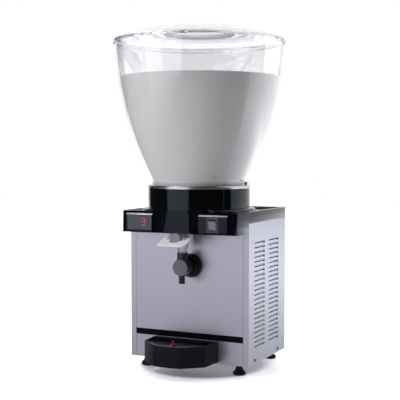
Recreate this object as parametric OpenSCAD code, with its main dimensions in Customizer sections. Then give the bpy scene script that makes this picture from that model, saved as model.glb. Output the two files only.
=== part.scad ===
// Counter-top cold drink dispenser: clear bowl on a cooling dome, lever tap, frother and drip tray.
// Millimetres, +Z up, front faces -Y. The origin is on the bowl's centre line at the counter.

/* [Cabinet] */
// Width of the sheet metal cabinet
body_w = 300; // [290:1:330]
// Depth of the cabinet, front panel to rear panel
body_d = 228; // [220:1:260]
// Height of the side panels
side_h = 320; // [310:1:350]
// How far the front panel stands in front of the bowl's centre line
front_reach = 57; // [54:0.5:62]
// Thickness of the panel sheet
sheet_t = 1; // [0.8:0.1:1.5]
// Width of the side panels' return on the front face
return_w = 13.5; // [10:0.5:18]
// Clearance between panels that lie edge to edge
seam = 0.3; // [0.2:0.05:0.5]
// Height of the edge flange of the base pan
pan_flange = 18; // [14:1:24]

/* [Louvres] */
// Louvres in one column
louvre_rows = 23; // [8:1:24]
// Height from one louvre to the next
louvre_pitch = 10.68; // [9:0.02:11]
// Length of one louvre
louvre_len = 62; // [40:1:70]
// Height of the louvre's slit
louvre_gap = 2.4; // [1.8:0.1:3]
// Height of the wider mouth at the rear end of the slit
louvre_mouth = 4.4; // [3.5:0.1:5]
// How far the lip of the louvre stands out at its rear end
louvre_out = 2.6; // [1.5:0.1:3.5]
// Height of the lowest louvre above the cabinet's bottom
louvre_low = 38; // [30:0.5:44]

/* [Feet] */
// Height of the cabinet's bottom above the counter
foot_h = 24; // [20:1:30]
// Diameter of a foot's base
foot_d = 30; // [24:1:36]
// Diameter of a foot's neck
foot_neck_d = 15; // [12:0.5:20]
// Diameter of a foot's threaded stud
stud_d = 8; // [6:0.5:10]
// Distance from the cabinet's side to a foot's centre
foot_inset = 32; // [30:1:45]

/* [Hood] */
// Height of the hood's band over the side panels
band_h = 26; // [22:1:34]
// Depth that the hood's front hangs down over the front panel
skirt_drop = 23; // [18:1:26]
// How far the hood stands out in front of the bowl's centre line
hood_reach = 112; // [110:0.5:116]
// How far each side of the hood draws in towards its front
hood_taper = 8; // [4:0.5:10]
// Wall of the hood's moulding
hood_t = 3; // [2.5:0.1:4]
// Radius of the hood's upright front corners
hood_corner_r = 6; // [4:0.5:12]
// Depth of the deck below the hood's rim
deck_drop = 6; // [4:0.5:8]
// Width of the hood's rim
rim_w = 9; // [7:0.5:12]
// Angle at which the hood's front leans back
hood_lean = 3; // [2:0.5:6]

/* [Front controls] */
// Width of the display's raised pad
display_w = 67; // [60:1:72]
// Height of the raised pads
pad_h = 41; // [38:0.5:42]
// Distance from the hood's left front corner to the display's pad
display_side = 13; // [11:0.5:16]
// Width of the switch's raised pad
switch_w = 70; // [64:1:72]
// Distance from the hood's right front corner to the switch's pad
switch_side = 18.5; // [16:0.5:22]
// How far the pads stand out from the hood
pad_out = 3.5; // [3:0.5:5]
// Width of the rocker switch's frame
switch_frame_w = 29; // [26:0.5:32]
// Height of the rocker switch's frame
switch_frame_h = 33; // [31:0.5:35]
// Height of the red figure on the display
digit_h = 17; // [12:0.5:18]

/* [Drum] */
// Radius of the drum
drum_r = 118; // [115:0.5:119]
// Wall of the drum
drum_t = 3; // [2.5:0.1:4]
// Height of the drum above the hood's rim
drum_rise = 50; // [46:1:60]
// Radius of the drum's flange on the deck
flange_r = 132; // [126:0.5:134]
// Height of the bright ring on the drum
neck_h = 7; // [6:0.5:9]

/* [Bowl] */
// Radius of the bowl at its rim
bowl_r = 195.5; // [190:0.5:200]
// Radius of the bowl's collar
collar_r = 109; // [108:0.25:110]
// Height of the bowl from the drum's ring to its rim
bowl_h = 330; // [320:1:350]
// Radius of the arc that the bowl's side follows
bowl_arc_r = 768; // [740:4:900]
// Wall of the bowl
bowl_t = 3.2; // [2.6:0.1:4]
// Height of the drink above the ring
drink_h = 248; // [200:1:270]
// Angle of the bowl's catch behind the machine's right side
catch_a = 6; // [0:1:20]

/* [Lid] */
// How far the lid's flange stands out past the bowl's bead
lid_over = 2; // [1.5:0.1:6]
// Height of the lid's flange
lid_lip = 5; // [4:0.5:7]
// Radius of the lid's raised top
lid_top_r = 140; // [120:1:150]
// Height of the raised top above the flange
lid_rise = 17; // [12:0.5:22]
// Wall of the lid
lid_t = 2.5; // [2:0.1:3]
// Radius of the shallow dish in the lid's top
dish_r = 88; // [70:1:95]

/* [Cooling] */
// Radius of the cooling dome
dome_r = 70; // [66:0.5:72]
// Height of the dome above the bowl's floor
dome_h = 193; // [160:1:196]
// Wall of the dome
dome_t = 1.5; // [1.2:0.1:2]
// Radius that the stirrer's blades reach
stirrer_r = 80; // [78:0.5:82]

/* [Tap] */
// Distance of the tap and frother from the centre line
service_x = 5; // [0:0.5:8]
// Height of the tap barrel's axis above the cabinet's bottom
tap_h = 286; // [284:0.5:288]
// Radius of the tap's barrel
barrel_r = 11.5; // [11:0.1:11.8]
// How far the tap's cap stands out in front of the bowl's centre line
tap_reach = 133; // [132:0.5:136]
// Width of the tap's cover at its foot
cover_w = 63; // [60:0.5:70]
// How far the foot of the tap's cover stands out in front of the bowl's centre line
cover_reach = 125; // [124.5:0.5:128]
// Width of the lever
lever_w = 70; // [66:1:76]
// Slope of the lever at rest
lever_slope = 20; // [16:1:22]
// Angle that the lever is pressed through
lever_throw = 18; // [12:1:20]
// Radius of the tube from the tap to the frother
tube_r = 11; // [10:0.1:11.2]

/* [Frother] */
// Height of the frother's axis above the cabinet's bottom
frother_h = 220.5; // [219:0.5:223]
// Radius of the frother's barrel
frother_r = 18.5; // [18:0.1:19.5]
// Distance from the front panel to the frother's cap
frother_len = 52; // [50:0.5:54]
// Radius of the frother's flange
frother_flange_r = 27.5; // [26.5:0.5:29]
// Distance of the flange's centre from the barrel's axis
frother_flange_side = 3; // [0:0.5:4]
// Radius of the nozzle
nozzle_r = 7; // [6:0.1:7.2]
// Height of the nozzle's tip above the cabinet's bottom
nozzle_h = 184; // [180:1:190]

/* [Drip tray] */
// Distance of the tray from the centre line
tray_x = -4.5; // [-8:0.5:0]
// Half the width of the drip tray at the front panel
tray_half = 80.5; // [78:0.5:84]
// How far each side of the tray draws in towards the front
tray_draw = 4.5; // [2:0.5:8]
// Distance from the front panel to the tray's nose
tray_len = 101; // [98:1:106]
// Height of the tray
tray_h = 47; // [42:1:49]
// Height of the tray's bottom above the cabinet's bottom
tray_low = 4.5; // [3:0.5:6]
// Wall of the tray
tray_t = 2.5; // [2:0.1:3]
// Width from one slot of the grille to the next
grille_pitch = 7.3; // [6:0.1:9]
// Width of a slot of the grille
grille_slot = 4; // [3:0.1:4.5]

/* [Hidden] */
$fn = 96;
fit = 0.05;
clear = 0.3;
run = 0.5;
cut = 1;
steel = "silver";
black = [0.07, 0.07, 0.08];
satin = [0.20, 0.20, 0.23];
clear_plastic = [0.86, 0.90, 0.96, 0.45];

z0 = foot_h;
side_top = z0 + side_h;
rim_z = side_top + band_h;
deck_z = rim_z - deck_drop;
skirt_z = side_top - skirt_drop;
yf = -front_reach;
yb = body_d - front_reach;
half_w = body_w / 2;
plate_t = 1.5;
plate_z = side_top - 4;
hood_f = -hood_reach;
pad_y = hood_f - pad_out;
pad_z = skirt_z + 2.5;
hood_half = half_w - hood_taper;
display_x = hood_half - display_side - display_w / 2;
switch_x = hood_half - switch_side - switch_w / 2;

drum_top = rim_z + drum_rise;
ledge_t = 4;
ledge_r = 100;
floor_t = 2.5;
drum_in = drum_r - drum_t;
neck_top = drum_top + neck_h;
plate_r = collar_r - 0.3;
dish_z = drum_top - 2;
dish_t = 3;
seal_t = 3;
bowl_floor = dish_z + dish_t;
bowl_low = bowl_floor + seal_t;
bowl_rim = neck_top + bowl_h;
collar_top = neck_top + 9;
dome_top = bowl_floor + dome_h;
coil_t = 6;
hub_h = 24;
pivot_r = 4;

// A cylinder along Y from y0 to y1
module rod_y(x, z, y0, y1, r) {
    translate([x, y0, z]) rotate([-90, 0, 0]) cylinder(h = y1 - y0, r = r);
}

// A cylinder along X from x0 to x1
module rod_x(x0, x1, y, z, r) {
    translate([x0, y, z]) rotate([0, 90, 0]) cylinder(h = x1 - x0, r = r);
}

// An upright cylinder from z0 to z1
module rod_z(x, y, low, high, r) {
    translate([x, y, low]) cylinder(h = high - low, r = r);
}

// A block between two corners
module block(a, b) {
    translate(a) cube([b[0] - a[0], b[1] - a[1], b[2] - a[2]]);
}

// A ring on the bowl's centre line
module ring(low, high, r_in, r_out) {
    difference() {
        rod_z(0, 0, low, high, r_out);
        rod_z(0, 0, low - cut, high + cut, r_in);
    }
}

// Cabinet sheet metal

pan_half = half_w - sheet_t - seam;
pan_front = yf + sheet_t + seam;
pan_rear = yb - sheet_t - seam;
foot_x = half_w - foot_inset;
foot_y = [yf + 22, yb - 17];
bush_r = stud_d / 2 + 4;
bush_h = 12;
stud_top = z0 + plate_t + bush_h;

module base_pan() {
    color(steel) difference() {
        union() {
            difference() {
                block([-pan_half, pan_front, z0], [pan_half, pan_rear, z0 + pan_flange]);
                block([-pan_half + plate_t, pan_front + plate_t, z0 + plate_t],
                      [pan_half - plate_t, pan_rear - plate_t, z0 + pan_flange + cut]);
            }
            for (x = [-foot_x, foot_x], y = foot_y) rod_z(x, y, z0, stud_top, bush_r);
        }
        for (x = [-foot_x, foot_x], y = foot_y)
            rod_z(x, y, z0 - cut, stud_top + cut, stud_d / 2 + fit);
        for (y = screw_y) rod_x(-half_w, half_w, y, screw_z, screw_r / 2 + fit);
    }
}

louvre_front = [yf + 32, yf + 119];
screw_r = 3;
screw_y = [yf + 36, yb - 49];
screw_z = z0 + 9;

// The slit, its wider mouth at the rear end, and the lip over it
module louvre_cut() {
    block([-sheet_t - cut, 0, 0], [cut, louvre_len, louvre_gap]);
    block([-sheet_t - cut, louvre_len - 10, louvre_gap - louvre_mouth], [cut, louvre_len, louvre_gap]);
}

module louvre_lip() {
    translate([0, 0, louvre_gap]) linear_extrude(height = 0.8)
        polygon([[-sheet_t / 2, 0], [0, 0], [louvre_out, louvre_len], [-sheet_t / 2, louvre_len]]);
}

module side_panel() {
    difference() {
        union() {
            block([half_w - sheet_t, yf, z0], [half_w, yb, side_top]);
            block([half_w - return_w, yf, z0], [half_w, yf + sheet_t, side_top]);
            block([half_w - return_w, yb - sheet_t, z0], [half_w, yb, side_top]);
        }
        for (y = louvre_front, row = [0 : louvre_rows - 1])
            translate([half_w, y, z0 + louvre_low + row * louvre_pitch]) louvre_cut();
        for (y = screw_y) rod_x(half_w - 4, half_w + cut, y, screw_z, screw_r / 2 + fit);
    }
    for (y = louvre_front, row = [0 : louvre_rows - 1])
        translate([half_w, y, z0 + louvre_low + row * louvre_pitch]) louvre_lip();
}

module right_panel() {
    color(steel) side_panel();
}

module left_panel() {
    color(steel) mirror([1, 0, 0]) side_panel();
}

front_half = half_w - return_w - seam;
front_fold = 8;
frother_z = z0 + frother_h;
shaft_r = 3;
bush_hole_r = 9;

module front_panel() {
    color(steel) difference() {
        union() {
            block([-front_half, yf, z0], [front_half, yf + sheet_t, plate_z - seam]);
            for (side = [-1, 1])
                translate([side * (front_half - sheet_t / 2), 0, 0])
                    block([-sheet_t / 2, yf, z0 + pan_flange + seam],
                          [sheet_t / 2, yf + front_fold, plate_z - 16]);
        }
        rod_y(service_x, frother_z, yf - cut, yf + sheet_t + cut, bush_hole_r);
    }
}

vent_rows = 16;
vent_pitch = 12;
vent_w = 90;
vent_h = 5;
vent_x = 20;
vent_low = 50;
inlet_side = 65;
inlet_x = -half_w + inlet_side;
inlet_z = z0 + 60;
inlet_w = 30;
inlet_h = 24;

module rear_panel() {
    color(steel) difference() {
        block([-front_half, yb - sheet_t, z0], [front_half, yb, side_top]);
        for (row = [0 : vent_rows - 1])
            translate([vent_x, 0, z0 + vent_low + row * vent_pitch])
                block([0, yb - sheet_t - cut, 0], [vent_w, yb + cut, vent_h]);
        block([inlet_x - inlet_w / 2, yb - sheet_t - cut, inlet_z - inlet_h / 2],
              [inlet_x + inlet_w / 2, yb + cut, inlet_z + inlet_h / 2]);
    }
}

plate_hole_r = 16;
plate_fold_y = 20;
plate_fold = 15;
line_x = 40;
line_y = 60;

module top_plate() {
    color(steel) difference() {
        union() {
            block([-pan_half, pan_front, plate_z], [pan_half, pan_rear, plate_z + plate_t]);
            for (side = [-1, 1])
                translate([side * (pan_half - plate_t / 2), 0, 0])
                    block([-plate_t / 2, pan_front + plate_fold_y, plate_z - plate_fold],
                          [plate_t / 2, pan_rear, plate_z]);
        }
        rod_z(line_x, line_y, plate_z - cut, plate_z + plate_t + cut, plate_hole_r);
    }
}

strip_h = 14;
strip_z = z0 + 52.5;
strip_t = 0.8;

module front_strip() {
    color(black) block([-front_half, yf - strip_t, strip_z], [front_half, yf, strip_z + strip_h]);
}

module panel_screws() {
    color(black) {
        for (side = [0, 1], y = screw_y) mirror([side, 0, 0]) {
            rod_x(half_w, half_w + 1.6, y, screw_z, screw_r);
            rod_x(half_w - 6, half_w, y, screw_z, screw_r / 2);
        }
    }
}

module foot(x, y) {
    color(black) translate([x, y, 0]) rotate_extrude() polygon([
        [0, 0], [foot_d / 2 - 2, 0], [foot_d / 2, 2], [foot_d / 2, 5], [foot_d / 2 - 2, 8],
        [foot_neck_d / 2 + 1.5, 12], [foot_neck_d / 2, 16], [foot_neck_d / 2, z0],
        [stud_d / 2, z0], [stud_d / 2, stud_top], [0, stud_top]
    ]);
}

// Hood

lean_shift = (rim_z - skirt_z) * tan(hood_lean);

taper_a = atan2(hood_taper, yf - hood_f);

// The hood's plan, drawn in by a margin all round: its sides draw in to rounded front corners
module hood_plan(margin) {
    wide = half_w - margin;
    narrow = hood_half - margin;
    front = hood_f + margin;
    r = max(hood_corner_r - margin, 1);
    reach = r / tan((90 + taper_a) / 2);
    side_x = narrow + reach * sin(taper_a);
    side_y = front + reach * cos(taper_a);
    polygon([
        [-wide, yb - margin], [-wide, yf], [-side_x, side_y], [-narrow + reach, front],
        [narrow - reach, front], [side_x, side_y], [wide, yf], [wide, yb - margin]
    ]);
    for (side = [-1, 1]) translate([side * (narrow - reach), front + r]) circle(r = r);
}

// The wedge that leans the hood's front back
module lean_cutter(margin) {
    translate([0, hood_f + margin, skirt_z]) rotate([-hood_lean, 0, 0])
        block([-body_w, -40, -20], [body_w, 0, band_h + skirt_drop + 30]);
}

module hood_block(margin, low, high) {
    difference() {
        translate([0, 0, low]) linear_extrude(height = high - low) hood_plan(margin);
        lean_cutter(margin);
    }
}

pad_edge = 2.4;
pad_deep = 12;

// A raised pad with a sloped top edge
module raised_pad(x, w) {
    top = pad_z + pad_h;
    translate([x + w / 2, 0, 0]) rotate([0, -90, 0]) linear_extrude(height = w) polygon([
        [pad_z, pad_y], [top - pad_edge, pad_y], [top, pad_y + pad_edge], [top, hood_f + pad_deep],
        [pad_z, hood_f + pad_deep]
    ]);
}

display_z = pad_z + pad_h / 2;
thermo_w = display_w - 4;
thermo_h = pad_h - 7;
thermo_deep = 10;
switch_z = pad_z + pad_h / 2 - 1;
switch_body_w = switch_frame_w - 5;
switch_body_h = switch_frame_h - 5;
switch_deep = 13;

module top_hood() {
    color(black) difference() {
        union() {
            difference() {
                hood_block(0, skirt_z, rim_z);
                hood_block(rim_w, deck_z, rim_z + cut);
                hood_block(hood_t, skirt_z + hood_t + 1, deck_z - hood_t);
                block([-body_w, yf - seam, skirt_z - cut], [body_w, body_w, side_top]);
                block([-half_w + hood_t, yf - seam - hood_t, skirt_z - cut],
                      [half_w - hood_t, yb - hood_t, deck_z - hood_t]);
            }
            raised_pad(-display_x, display_w);
            raised_pad(switch_x, switch_w);
        }
        rod_z(0, 0, skirt_z - cut, rim_z + cut, drum_r + clear);
        thermostat_space(0);
        switch_space();
    }
}

// Controls on the hood's front

window_y = pad_y + 1;
key_w = 6;
key_h = 2.2;
key_deep = 2;
key_out = 0.6;
key_step = 15.5;
key_z = display_z - thermo_h / 2 + 2.5;
key_x = [for (i = [0 : 3]) -display_x - 1.5 * key_step + i * key_step];

// The openings for the controls, through the hood and clear of the drum
module thermostat_space(margin) {
    translate([-display_x, 0, display_z])
        block([-thermo_w / 2 - margin, pad_y - cut, -thermo_h / 2 - margin],
              [thermo_w / 2 + margin, window_y + thermo_deep + clear, thermo_h / 2 + margin]);
}

module switch_space() {
    translate([switch_x, 0, switch_z])
        block([-switch_body_w / 2 - clear, pad_y - cut, -switch_body_h / 2 - clear],
              [switch_body_w / 2 + clear, pad_y + switch_deep + clear, switch_body_h / 2 + clear]);
}

module thermostat() {
    color([0.22, 0.23, 0.27]) difference() {
        block([-display_x - thermo_w / 2 + fit, window_y, display_z - thermo_h / 2 + fit],
              [-display_x + thermo_w / 2 - fit, window_y + thermo_deep, display_z + thermo_h / 2 - fit]);
        for (x = key_x)
            block([x - key_w / 2 - clear, window_y - cut, key_z - clear],
                  [x + key_w / 2 + clear, window_y + key_deep + run, key_z + key_h + clear]);
    }
}

module display_key(i) {
    color([0.45, 0.46, 0.5])
        block([key_x[i] - key_w / 2, window_y - key_out, key_z],
              [key_x[i] + key_w / 2, window_y + key_deep, key_z + key_h]);
}

// One seven-segment figure, a three
digit_w = digit_h * 0.55;
bar = digit_h * 0.11;
digit_x = -display_x + 11;
digit_out = 0.4;

module display_digit() {
    z = display_z - digit_h / 2 + 1;
    color("red") {
        for (row = [0, 1, 2])
            block([digit_x - digit_w / 2, window_y - digit_out, z + row * (digit_h - bar) / 2],
                  [digit_x + digit_w / 2, window_y, z + row * (digit_h - bar) / 2 + bar]);
        block([digit_x + digit_w / 2 - bar, window_y - digit_out, z],
              [digit_x + digit_w / 2, window_y, z + digit_h]);
    }
}

frame_out = 2;
rocker_w = switch_frame_w - 12;
rocker_h = switch_frame_h - 14;
rocker_tilt = 9;
rocker_pin_r = 1.5;
rocker_y = pad_y + 5;

module switch_frame() {
    color(satin) difference() {
        union() {
            block([switch_x - switch_frame_w / 2, pad_y - frame_out, switch_z - switch_frame_h / 2],
                  [switch_x + switch_frame_w / 2, pad_y, switch_z + switch_frame_h / 2]);
            block([switch_x - switch_body_w / 2, pad_y, switch_z - switch_body_h / 2],
                  [switch_x + switch_body_w / 2, pad_y + switch_deep, switch_z + switch_body_h / 2]);
        }
        block([switch_x - rocker_w / 2 - clear, pad_y - frame_out - cut, switch_z - rocker_h / 2 - 2],
              [switch_x + rocker_w / 2 + clear, rocker_y + 4, switch_z + rocker_h / 2 + 2]);
        translate([switch_x, 0, 0])
            rod_x(-rocker_w / 2 - 2, rocker_w / 2 + 2, rocker_y, switch_z, rocker_pin_r + fit);
    }
}

module switch_rocker() {
    color([0.55, 0.55, 0.6]) {
        translate([switch_x, rocker_y, switch_z]) {
            rotate([rocker_tilt, 0, 0])
                block([-rocker_w / 2, -8, -rocker_h / 2], [rocker_w / 2, 0, rocker_h / 2]);
            rod_x(-rocker_w / 2 - 1.6, rocker_w / 2 + 1.6, 0, 0, rocker_pin_r);
        }
    }
}

// Drum, ring and cooling dome

tap_z = z0 + tap_h;
duct_r = 12;
duct_y = -84;
duct_bore = 7;
notch_half = 29;
catch_r = drum_in - 2;
catch_pin_r = 2.2;

module at_catch() {
    rotate([0, 0, catch_a]) translate([catch_r, 0, 0]) children();
}

module drum() {
    color(black) difference() {
        union() {
            ring(skirt_z, drum_top, drum_in, drum_r);
            ring(drum_top - ledge_t - 2, drum_top - 2, ledge_r, drum_r - 1);
            rod_z(0, 0, plate_z + plate_t, plate_z + plate_t + floor_t, drum_r - 1);
            difference() {
                translate([0, 0, deck_z]) rotate_extrude() polygon([
                    [drum_r - 1, 0], [flange_r, 0], [flange_r, deck_drop], [flange_r - 2, deck_drop + 3],
                    [drum_r + 6, deck_drop + 5], [drum_r - 1, deck_drop + 5]
                ]);
                block([-body_w, -body_w, deck_z - cut],
                      [body_w, hood_f + rim_w + lean_shift + 1, rim_z + 20]);
            }
            at_catch() rod_z(0, 0, drum_top - ledge_t, neck_top + 7, catch_pin_r);
        }
        block([-body_w, yf - seam, skirt_z - cut], [body_w, body_w, plate_z + plate_t]);
        block([service_x - notch_half, -drum_r - cut, skirt_z - cut],
              [service_x + notch_half, yf - 30, plate_z + plate_t - clear]);
        rod_z(service_x, duct_y, plate_z - cut, drum_top, duct_r + clear);
        rod_z(line_x, line_y, plate_z - cut, plate_z + 10, plate_hole_r);
        thermostat_space(clear);
        switch_space();
    }
}

foam_low = plate_z + plate_t + floor_t;
foam_high = drum_top - ledge_t - 2;
motor_r = 34;
motor_h = 46;

module drum_foam() {
    color([0.93, 0.88, 0.7]) difference() {
        rod_z(0, 0, foam_low, foam_high, drum_in - seam);
        rod_z(0, 0, foam_low - cut, foam_high + cut, motor_r + clear);
        rod_z(service_x, duct_y, foam_low - cut, foam_high + cut, duct_r + clear);
        rod_z(line_x, line_y, foam_low - cut, foam_high + cut, plate_hole_r);
        block([suction_x - 6, suction_y - 6, channel_z - 6], [suction_x + 6, line_y, foam_high + cut]);
    }
}

ring_in = collar_r + 0.4;
edge_r = 3;

module neck_ring() {
    color(steel) difference() {
        translate([0, 0, drum_top]) rotate_extrude() union() {
            square_at(ring_in, 0, drum_r + 1 - edge_r, neck_h);
            square_at(ring_in, 0, drum_r + 1, neck_h - edge_r);
            translate([drum_r + 1 - edge_r, neck_h - edge_r]) circle(r = edge_r);
        }
        at_catch() rod_z(0, 0, drum_top - cut, neck_top + cut, catch_pin_r + clear);
    }
}

module square_at(x0, y0, x1, y1) {
    translate([x0, y0]) square([x1 - x0, y1 - y0]);
}

crown_r = 14;

module evaporator() {
    color("lightgray") difference() {
        union() {
            rod_z(0, 0, dish_z, bowl_floor, plate_r);
            translate([0, 0, dish_z]) dome_solid(dome_r, dome_top - dish_z);
            rod_z(0, 0, dome_top - cut, pin_top, pivot_r);
        }
        translate([0, 0, dish_z - cut]) dome_solid(dome_r - dome_t, dome_top - dish_z - dome_t + cut);
        rod_z(service_x, duct_y, dish_z - cut, bowl_floor + cut, duct_bore);
    }
}

module dome_solid(r, h) {
    rotate_extrude() union() {
        square([r - crown_r, h]);
        square([r, h - crown_r]);
        translate([r - crown_r, h - crown_r]) intersection() {
            circle(r = crown_r);
            square([crown_r, crown_r]);
        }
    }
}

coil_low = bowl_floor + 10;
coil_high = dome_top - 30;

module cooling_coil() {
    color("peru") ring(coil_low, coil_high, dome_r - dome_t - coil_t, dome_r - dome_t);
}

motor_top = foam_low + motor_h;
drive_shaft_r = 4;
magnet_h = 12;
magnet_top = dome_top - dome_t - 1.5;

magnet_low = magnet_top - magnet_h;
magnet_r = 30;
mast_r = 12;
shaft_low = motor_top - 20;

// The motor, with the mast that guides its long shaft up inside the dome
module stirrer_motor() {
    color(satin) difference() {
        union() {
            rod_z(0, 0, foam_low, motor_top, motor_r);
            rod_z(0, 0, motor_top - cut, magnet_low - clear, mast_r);
        }
        rod_z(0, 0, shaft_low - clear, magnet_low, drive_shaft_r + fit);
    }
}

// The magnet disc and its shaft
module drive_magnet() {
    color("dimgray") {
        rod_z(0, 0, magnet_low, magnet_top, magnet_r);
        rod_z(0, 0, shaft_low, magnet_low + cut, drive_shaft_r);
    }
}

blade_in = dome_r + 1.5;
blade_t = 4;
hub_low = dome_top + 0.3;
stirrer_top = dome_top + hub_h;
stirrer_hub_r = 16;
sweep_w = 18;
sweep_low = bowl_floor + 3;
sweep_high = stirrer_top - 10;
pin_top = dome_top + 14;

module stirrer() {
    color("white") difference() {
        union() {
            rod_z(0, 0, hub_low, stirrer_top, stirrer_hub_r);
            block([-stirrer_r + 1, -blade_t / 2, hub_low], [stirrer_r - 1, blade_t / 2, sweep_high]);
            for (side = [-1, 1]) intersection() {
                translate([side < 0 ? -stirrer_r : blade_in, -sweep_w / 2, sweep_low])
                    cube([stirrer_r - blade_in, sweep_w, sweep_high - sweep_low]);
                ring(sweep_low, stirrer_top, blade_in, stirrer_r);
            }
            ring(sweep_low, sweep_low + 6, blade_in, stirrer_r);
        }
        rod_z(0, 0, hub_low - cut, pin_top + clear, pivot_r + fit);
    }
}

// Bowl, seal, lid and drink

// Centre of the arc that the bowl's side follows from its collar to its rim
chord = [bowl_r - collar_r, bowl_rim - collar_top];
chord_len = norm(chord);
arc_back = sqrt(bowl_arc_r * bowl_arc_r - chord_len * chord_len / 4);
arc_x = (collar_r + bowl_r) / 2 - arc_back * chord[1] / chord_len;
arc_z = (collar_top + bowl_rim) / 2 + arc_back * chord[0] / chord_len;
function bowl_side(z) = arc_x + sqrt(bowl_arc_r * bowl_arc_r - (arc_z - z) * (arc_z - z));
steps = 24;
function side_points(low, high, inset) =
    [for (i = [0 : steps]) let (z = low + (high - low) * i / steps) [bowl_side(z) - inset, z]];
function back(list) = [for (i = [len(list) - 1 : -1 : 0]) list[i]];
lug_w = 22;
bead_h = 4;
bead_r = bowl_r + 1.5;

module bowl() {
    color(clear_plastic) difference() {
        union() {
            rotate_extrude() polygon(concat(
                [[collar_r - bowl_t, bowl_low], [collar_r, bowl_low], [collar_r, collar_top]],
                side_points(collar_top, bowl_rim, 0),
                back(side_points(collar_top, bowl_rim, bowl_t))
            ));
            rotate_extrude() square_at(bowl_r - bowl_t / 2, bowl_rim - bead_h, bead_r, bowl_rim);
            rotate([0, 0, catch_a])
                block([collar_r - bowl_t / 2, -lug_w / 2, neck_top + clear],
                      [catch_r + 5, lug_w / 2, collar_top - 1]);
        }
        at_catch() rod_z(0, 0, neck_top - cut, collar_top + cut, catch_pin_r + clear);
    }
}

module bowl_seal() {
    color([0.3, 0.3, 0.32]) ring(bowl_floor, bowl_low, collar_r - bowl_t - 4, collar_r - 0.5);
}

lid_gap = 0.3;
lid_r = bead_r + lid_over;
lid_low = bowl_rim;
lid_top = lid_low + lid_lip + lid_rise;
dish_deep = 3;

module lid() {
    color(clear_plastic) rotate_extrude() polygon([
        [bead_r + lid_gap, lid_low - lid_lip], [lid_r, lid_low - lid_lip], [lid_r, lid_low + lid_t],
        [lid_r - 4, lid_low + lid_lip], [lid_top_r + 6, lid_top - 2], [lid_top_r, lid_top],
        [dish_r + 3, lid_top], [dish_r, lid_top - dish_deep], [0, lid_top - dish_deep],
        [0, lid_top - dish_deep - lid_t], [dish_r + 1, lid_top - dish_deep - lid_t],
        [dish_r + 4, lid_top - lid_t], [lid_top_r - 1, lid_top - lid_t],
        [lid_top_r + 4, lid_top - lid_t - 2], [lid_r - 6, lid_low + lid_lip - lid_t],
        [bowl_r - 8, lid_low], [bead_r + lid_gap, lid_low]
    ]);
}

drink_gap = 0.4;
drink_low = bowl_low + 0.5;
drink_top = neck_top + drink_h;
well_r = stirrer_r + 0.6;
well_top = stirrer_top + 2;

module drink() {
    color([0.96, 0.95, 0.92]) rotate_extrude() polygon(concat(
        [[well_r, drink_low], [collar_r - bowl_t - drink_gap, drink_low]],
        side_points(collar_top, drink_top, bowl_t + drink_gap),
        [[0, drink_top], [0, well_top], [well_r, well_top]]
    ));
}

// Cooling machine inside the cabinet

pot_x = -72;
pot_y = 84;
pot_r = 58;
grommet_h = 16.5;
pot_drop = 6;
pot_low = z0 + plate_t + grommet_h + pot_drop;
pot_h = 128;
pot_edge = 20;
grommet_r = 9;
grommet_x = 52;
grommet_y = 46;
grommet_stem_r = 4;
pot_base_t = 3;
pot_base = [62, 56];

module compressor() {
    color(black) translate([pot_x, pot_y, pot_low]) {
        rotate_extrude() union() {
            square([pot_r - pot_edge, pot_h]);
            translate([0, pot_edge]) square([pot_r, pot_h - 2 * pot_edge]);
            for (z = [pot_edge, pot_h - pot_edge]) translate([pot_r - pot_edge, z]) intersection() {
                circle(r = pot_edge);
                translate([0, -pot_edge]) square([pot_edge, 2 * pot_edge]);
            }
        }
        difference() {
            block([-pot_base[0], -pot_base[1], -pot_drop],
                  [pot_base[0], pot_base[1], -pot_drop + pot_base_t]);
            for (x = [-grommet_x, grommet_x], y = [-grommet_y, grommet_y])
                rod_z(x, y, -pot_drop - cut, 0, grommet_stem_r + fit);
        }
        rod_z(0, 0, -4, 4, pot_r - pot_edge - 2);
    }
}

module compressor_grommets() {
    color([0.15, 0.15, 0.15]) translate([pot_x, pot_y, 0])
        for (x = [-grommet_x, grommet_x], y = [-grommet_y, grommet_y]) {
            rod_z(x, y, z0 + plate_t, pot_low - pot_drop, grommet_r);
            rod_z(x, y, pot_low - pot_drop, pot_low - pot_drop + pot_base_t + 2, grommet_stem_r);
        }
}

fan_x = 75;
fan_rise = 110;
fan_z = z0 + fan_rise;
cond_w = 130;
cond_h = 160;
cond_y = yf + 70;
cond_d = 44;
fins = 13;
fin_t = 1.5;
cond_tube_r = 4;
cond_tube_y = [cond_y + cond_d / 4, cond_y + 3 * cond_d / 4];
cond_tubes = 7;
cond_tube_pitch = 22;
leg_t = 4;
shroud_t = 3;
fan_r = 52;

module condenser() {
    low = fan_z - cond_h / 2;
    left = fan_x - cond_w / 2;
    color("darkgray") {
        for (i = [0 : fins - 1])
            translate([left + i * (cond_w - fin_t) / (fins - 1), 0, 0])
                block([0, cond_y, low], [fin_t, cond_y + cond_d, low + cond_h]);
        for (y = cond_tube_y, row = [0 : cond_tubes - 1])
            translate([left, y, low + 14 + row * cond_tube_pitch])
                rod_x(fin_t / 2, cond_w - fin_t / 2, 0, 0, cond_tube_r);
        for (side = [0, 1])
            translate([left + side * (cond_w - leg_t), 0, 0])
                block([0, cond_y + 2, z0 + plate_t], [leg_t, cond_y + cond_d - 2, low + 6]);
    }
}

shroud_y = cond_y + cond_d;
shroud_len = 22;
fan_gap = 24;
fan_y = shroud_y + fan_gap;

module fan_shroud() {
    low = fan_z - cond_h / 2;
    color(black) difference() {
        union() {
            block([fan_x - cond_w / 2, shroud_y, low], [fan_x + cond_w / 2, shroud_y + shroud_t, low + cond_h]);
            rod_y(fan_x, fan_z, shroud_y, shroud_y + shroud_len, fan_r + 2 * shroud_t);
        }
        rod_y(fan_x, fan_z, shroud_y - cut, shroud_y + shroud_len + cut, fan_r + shroud_t);
    }
}

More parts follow.
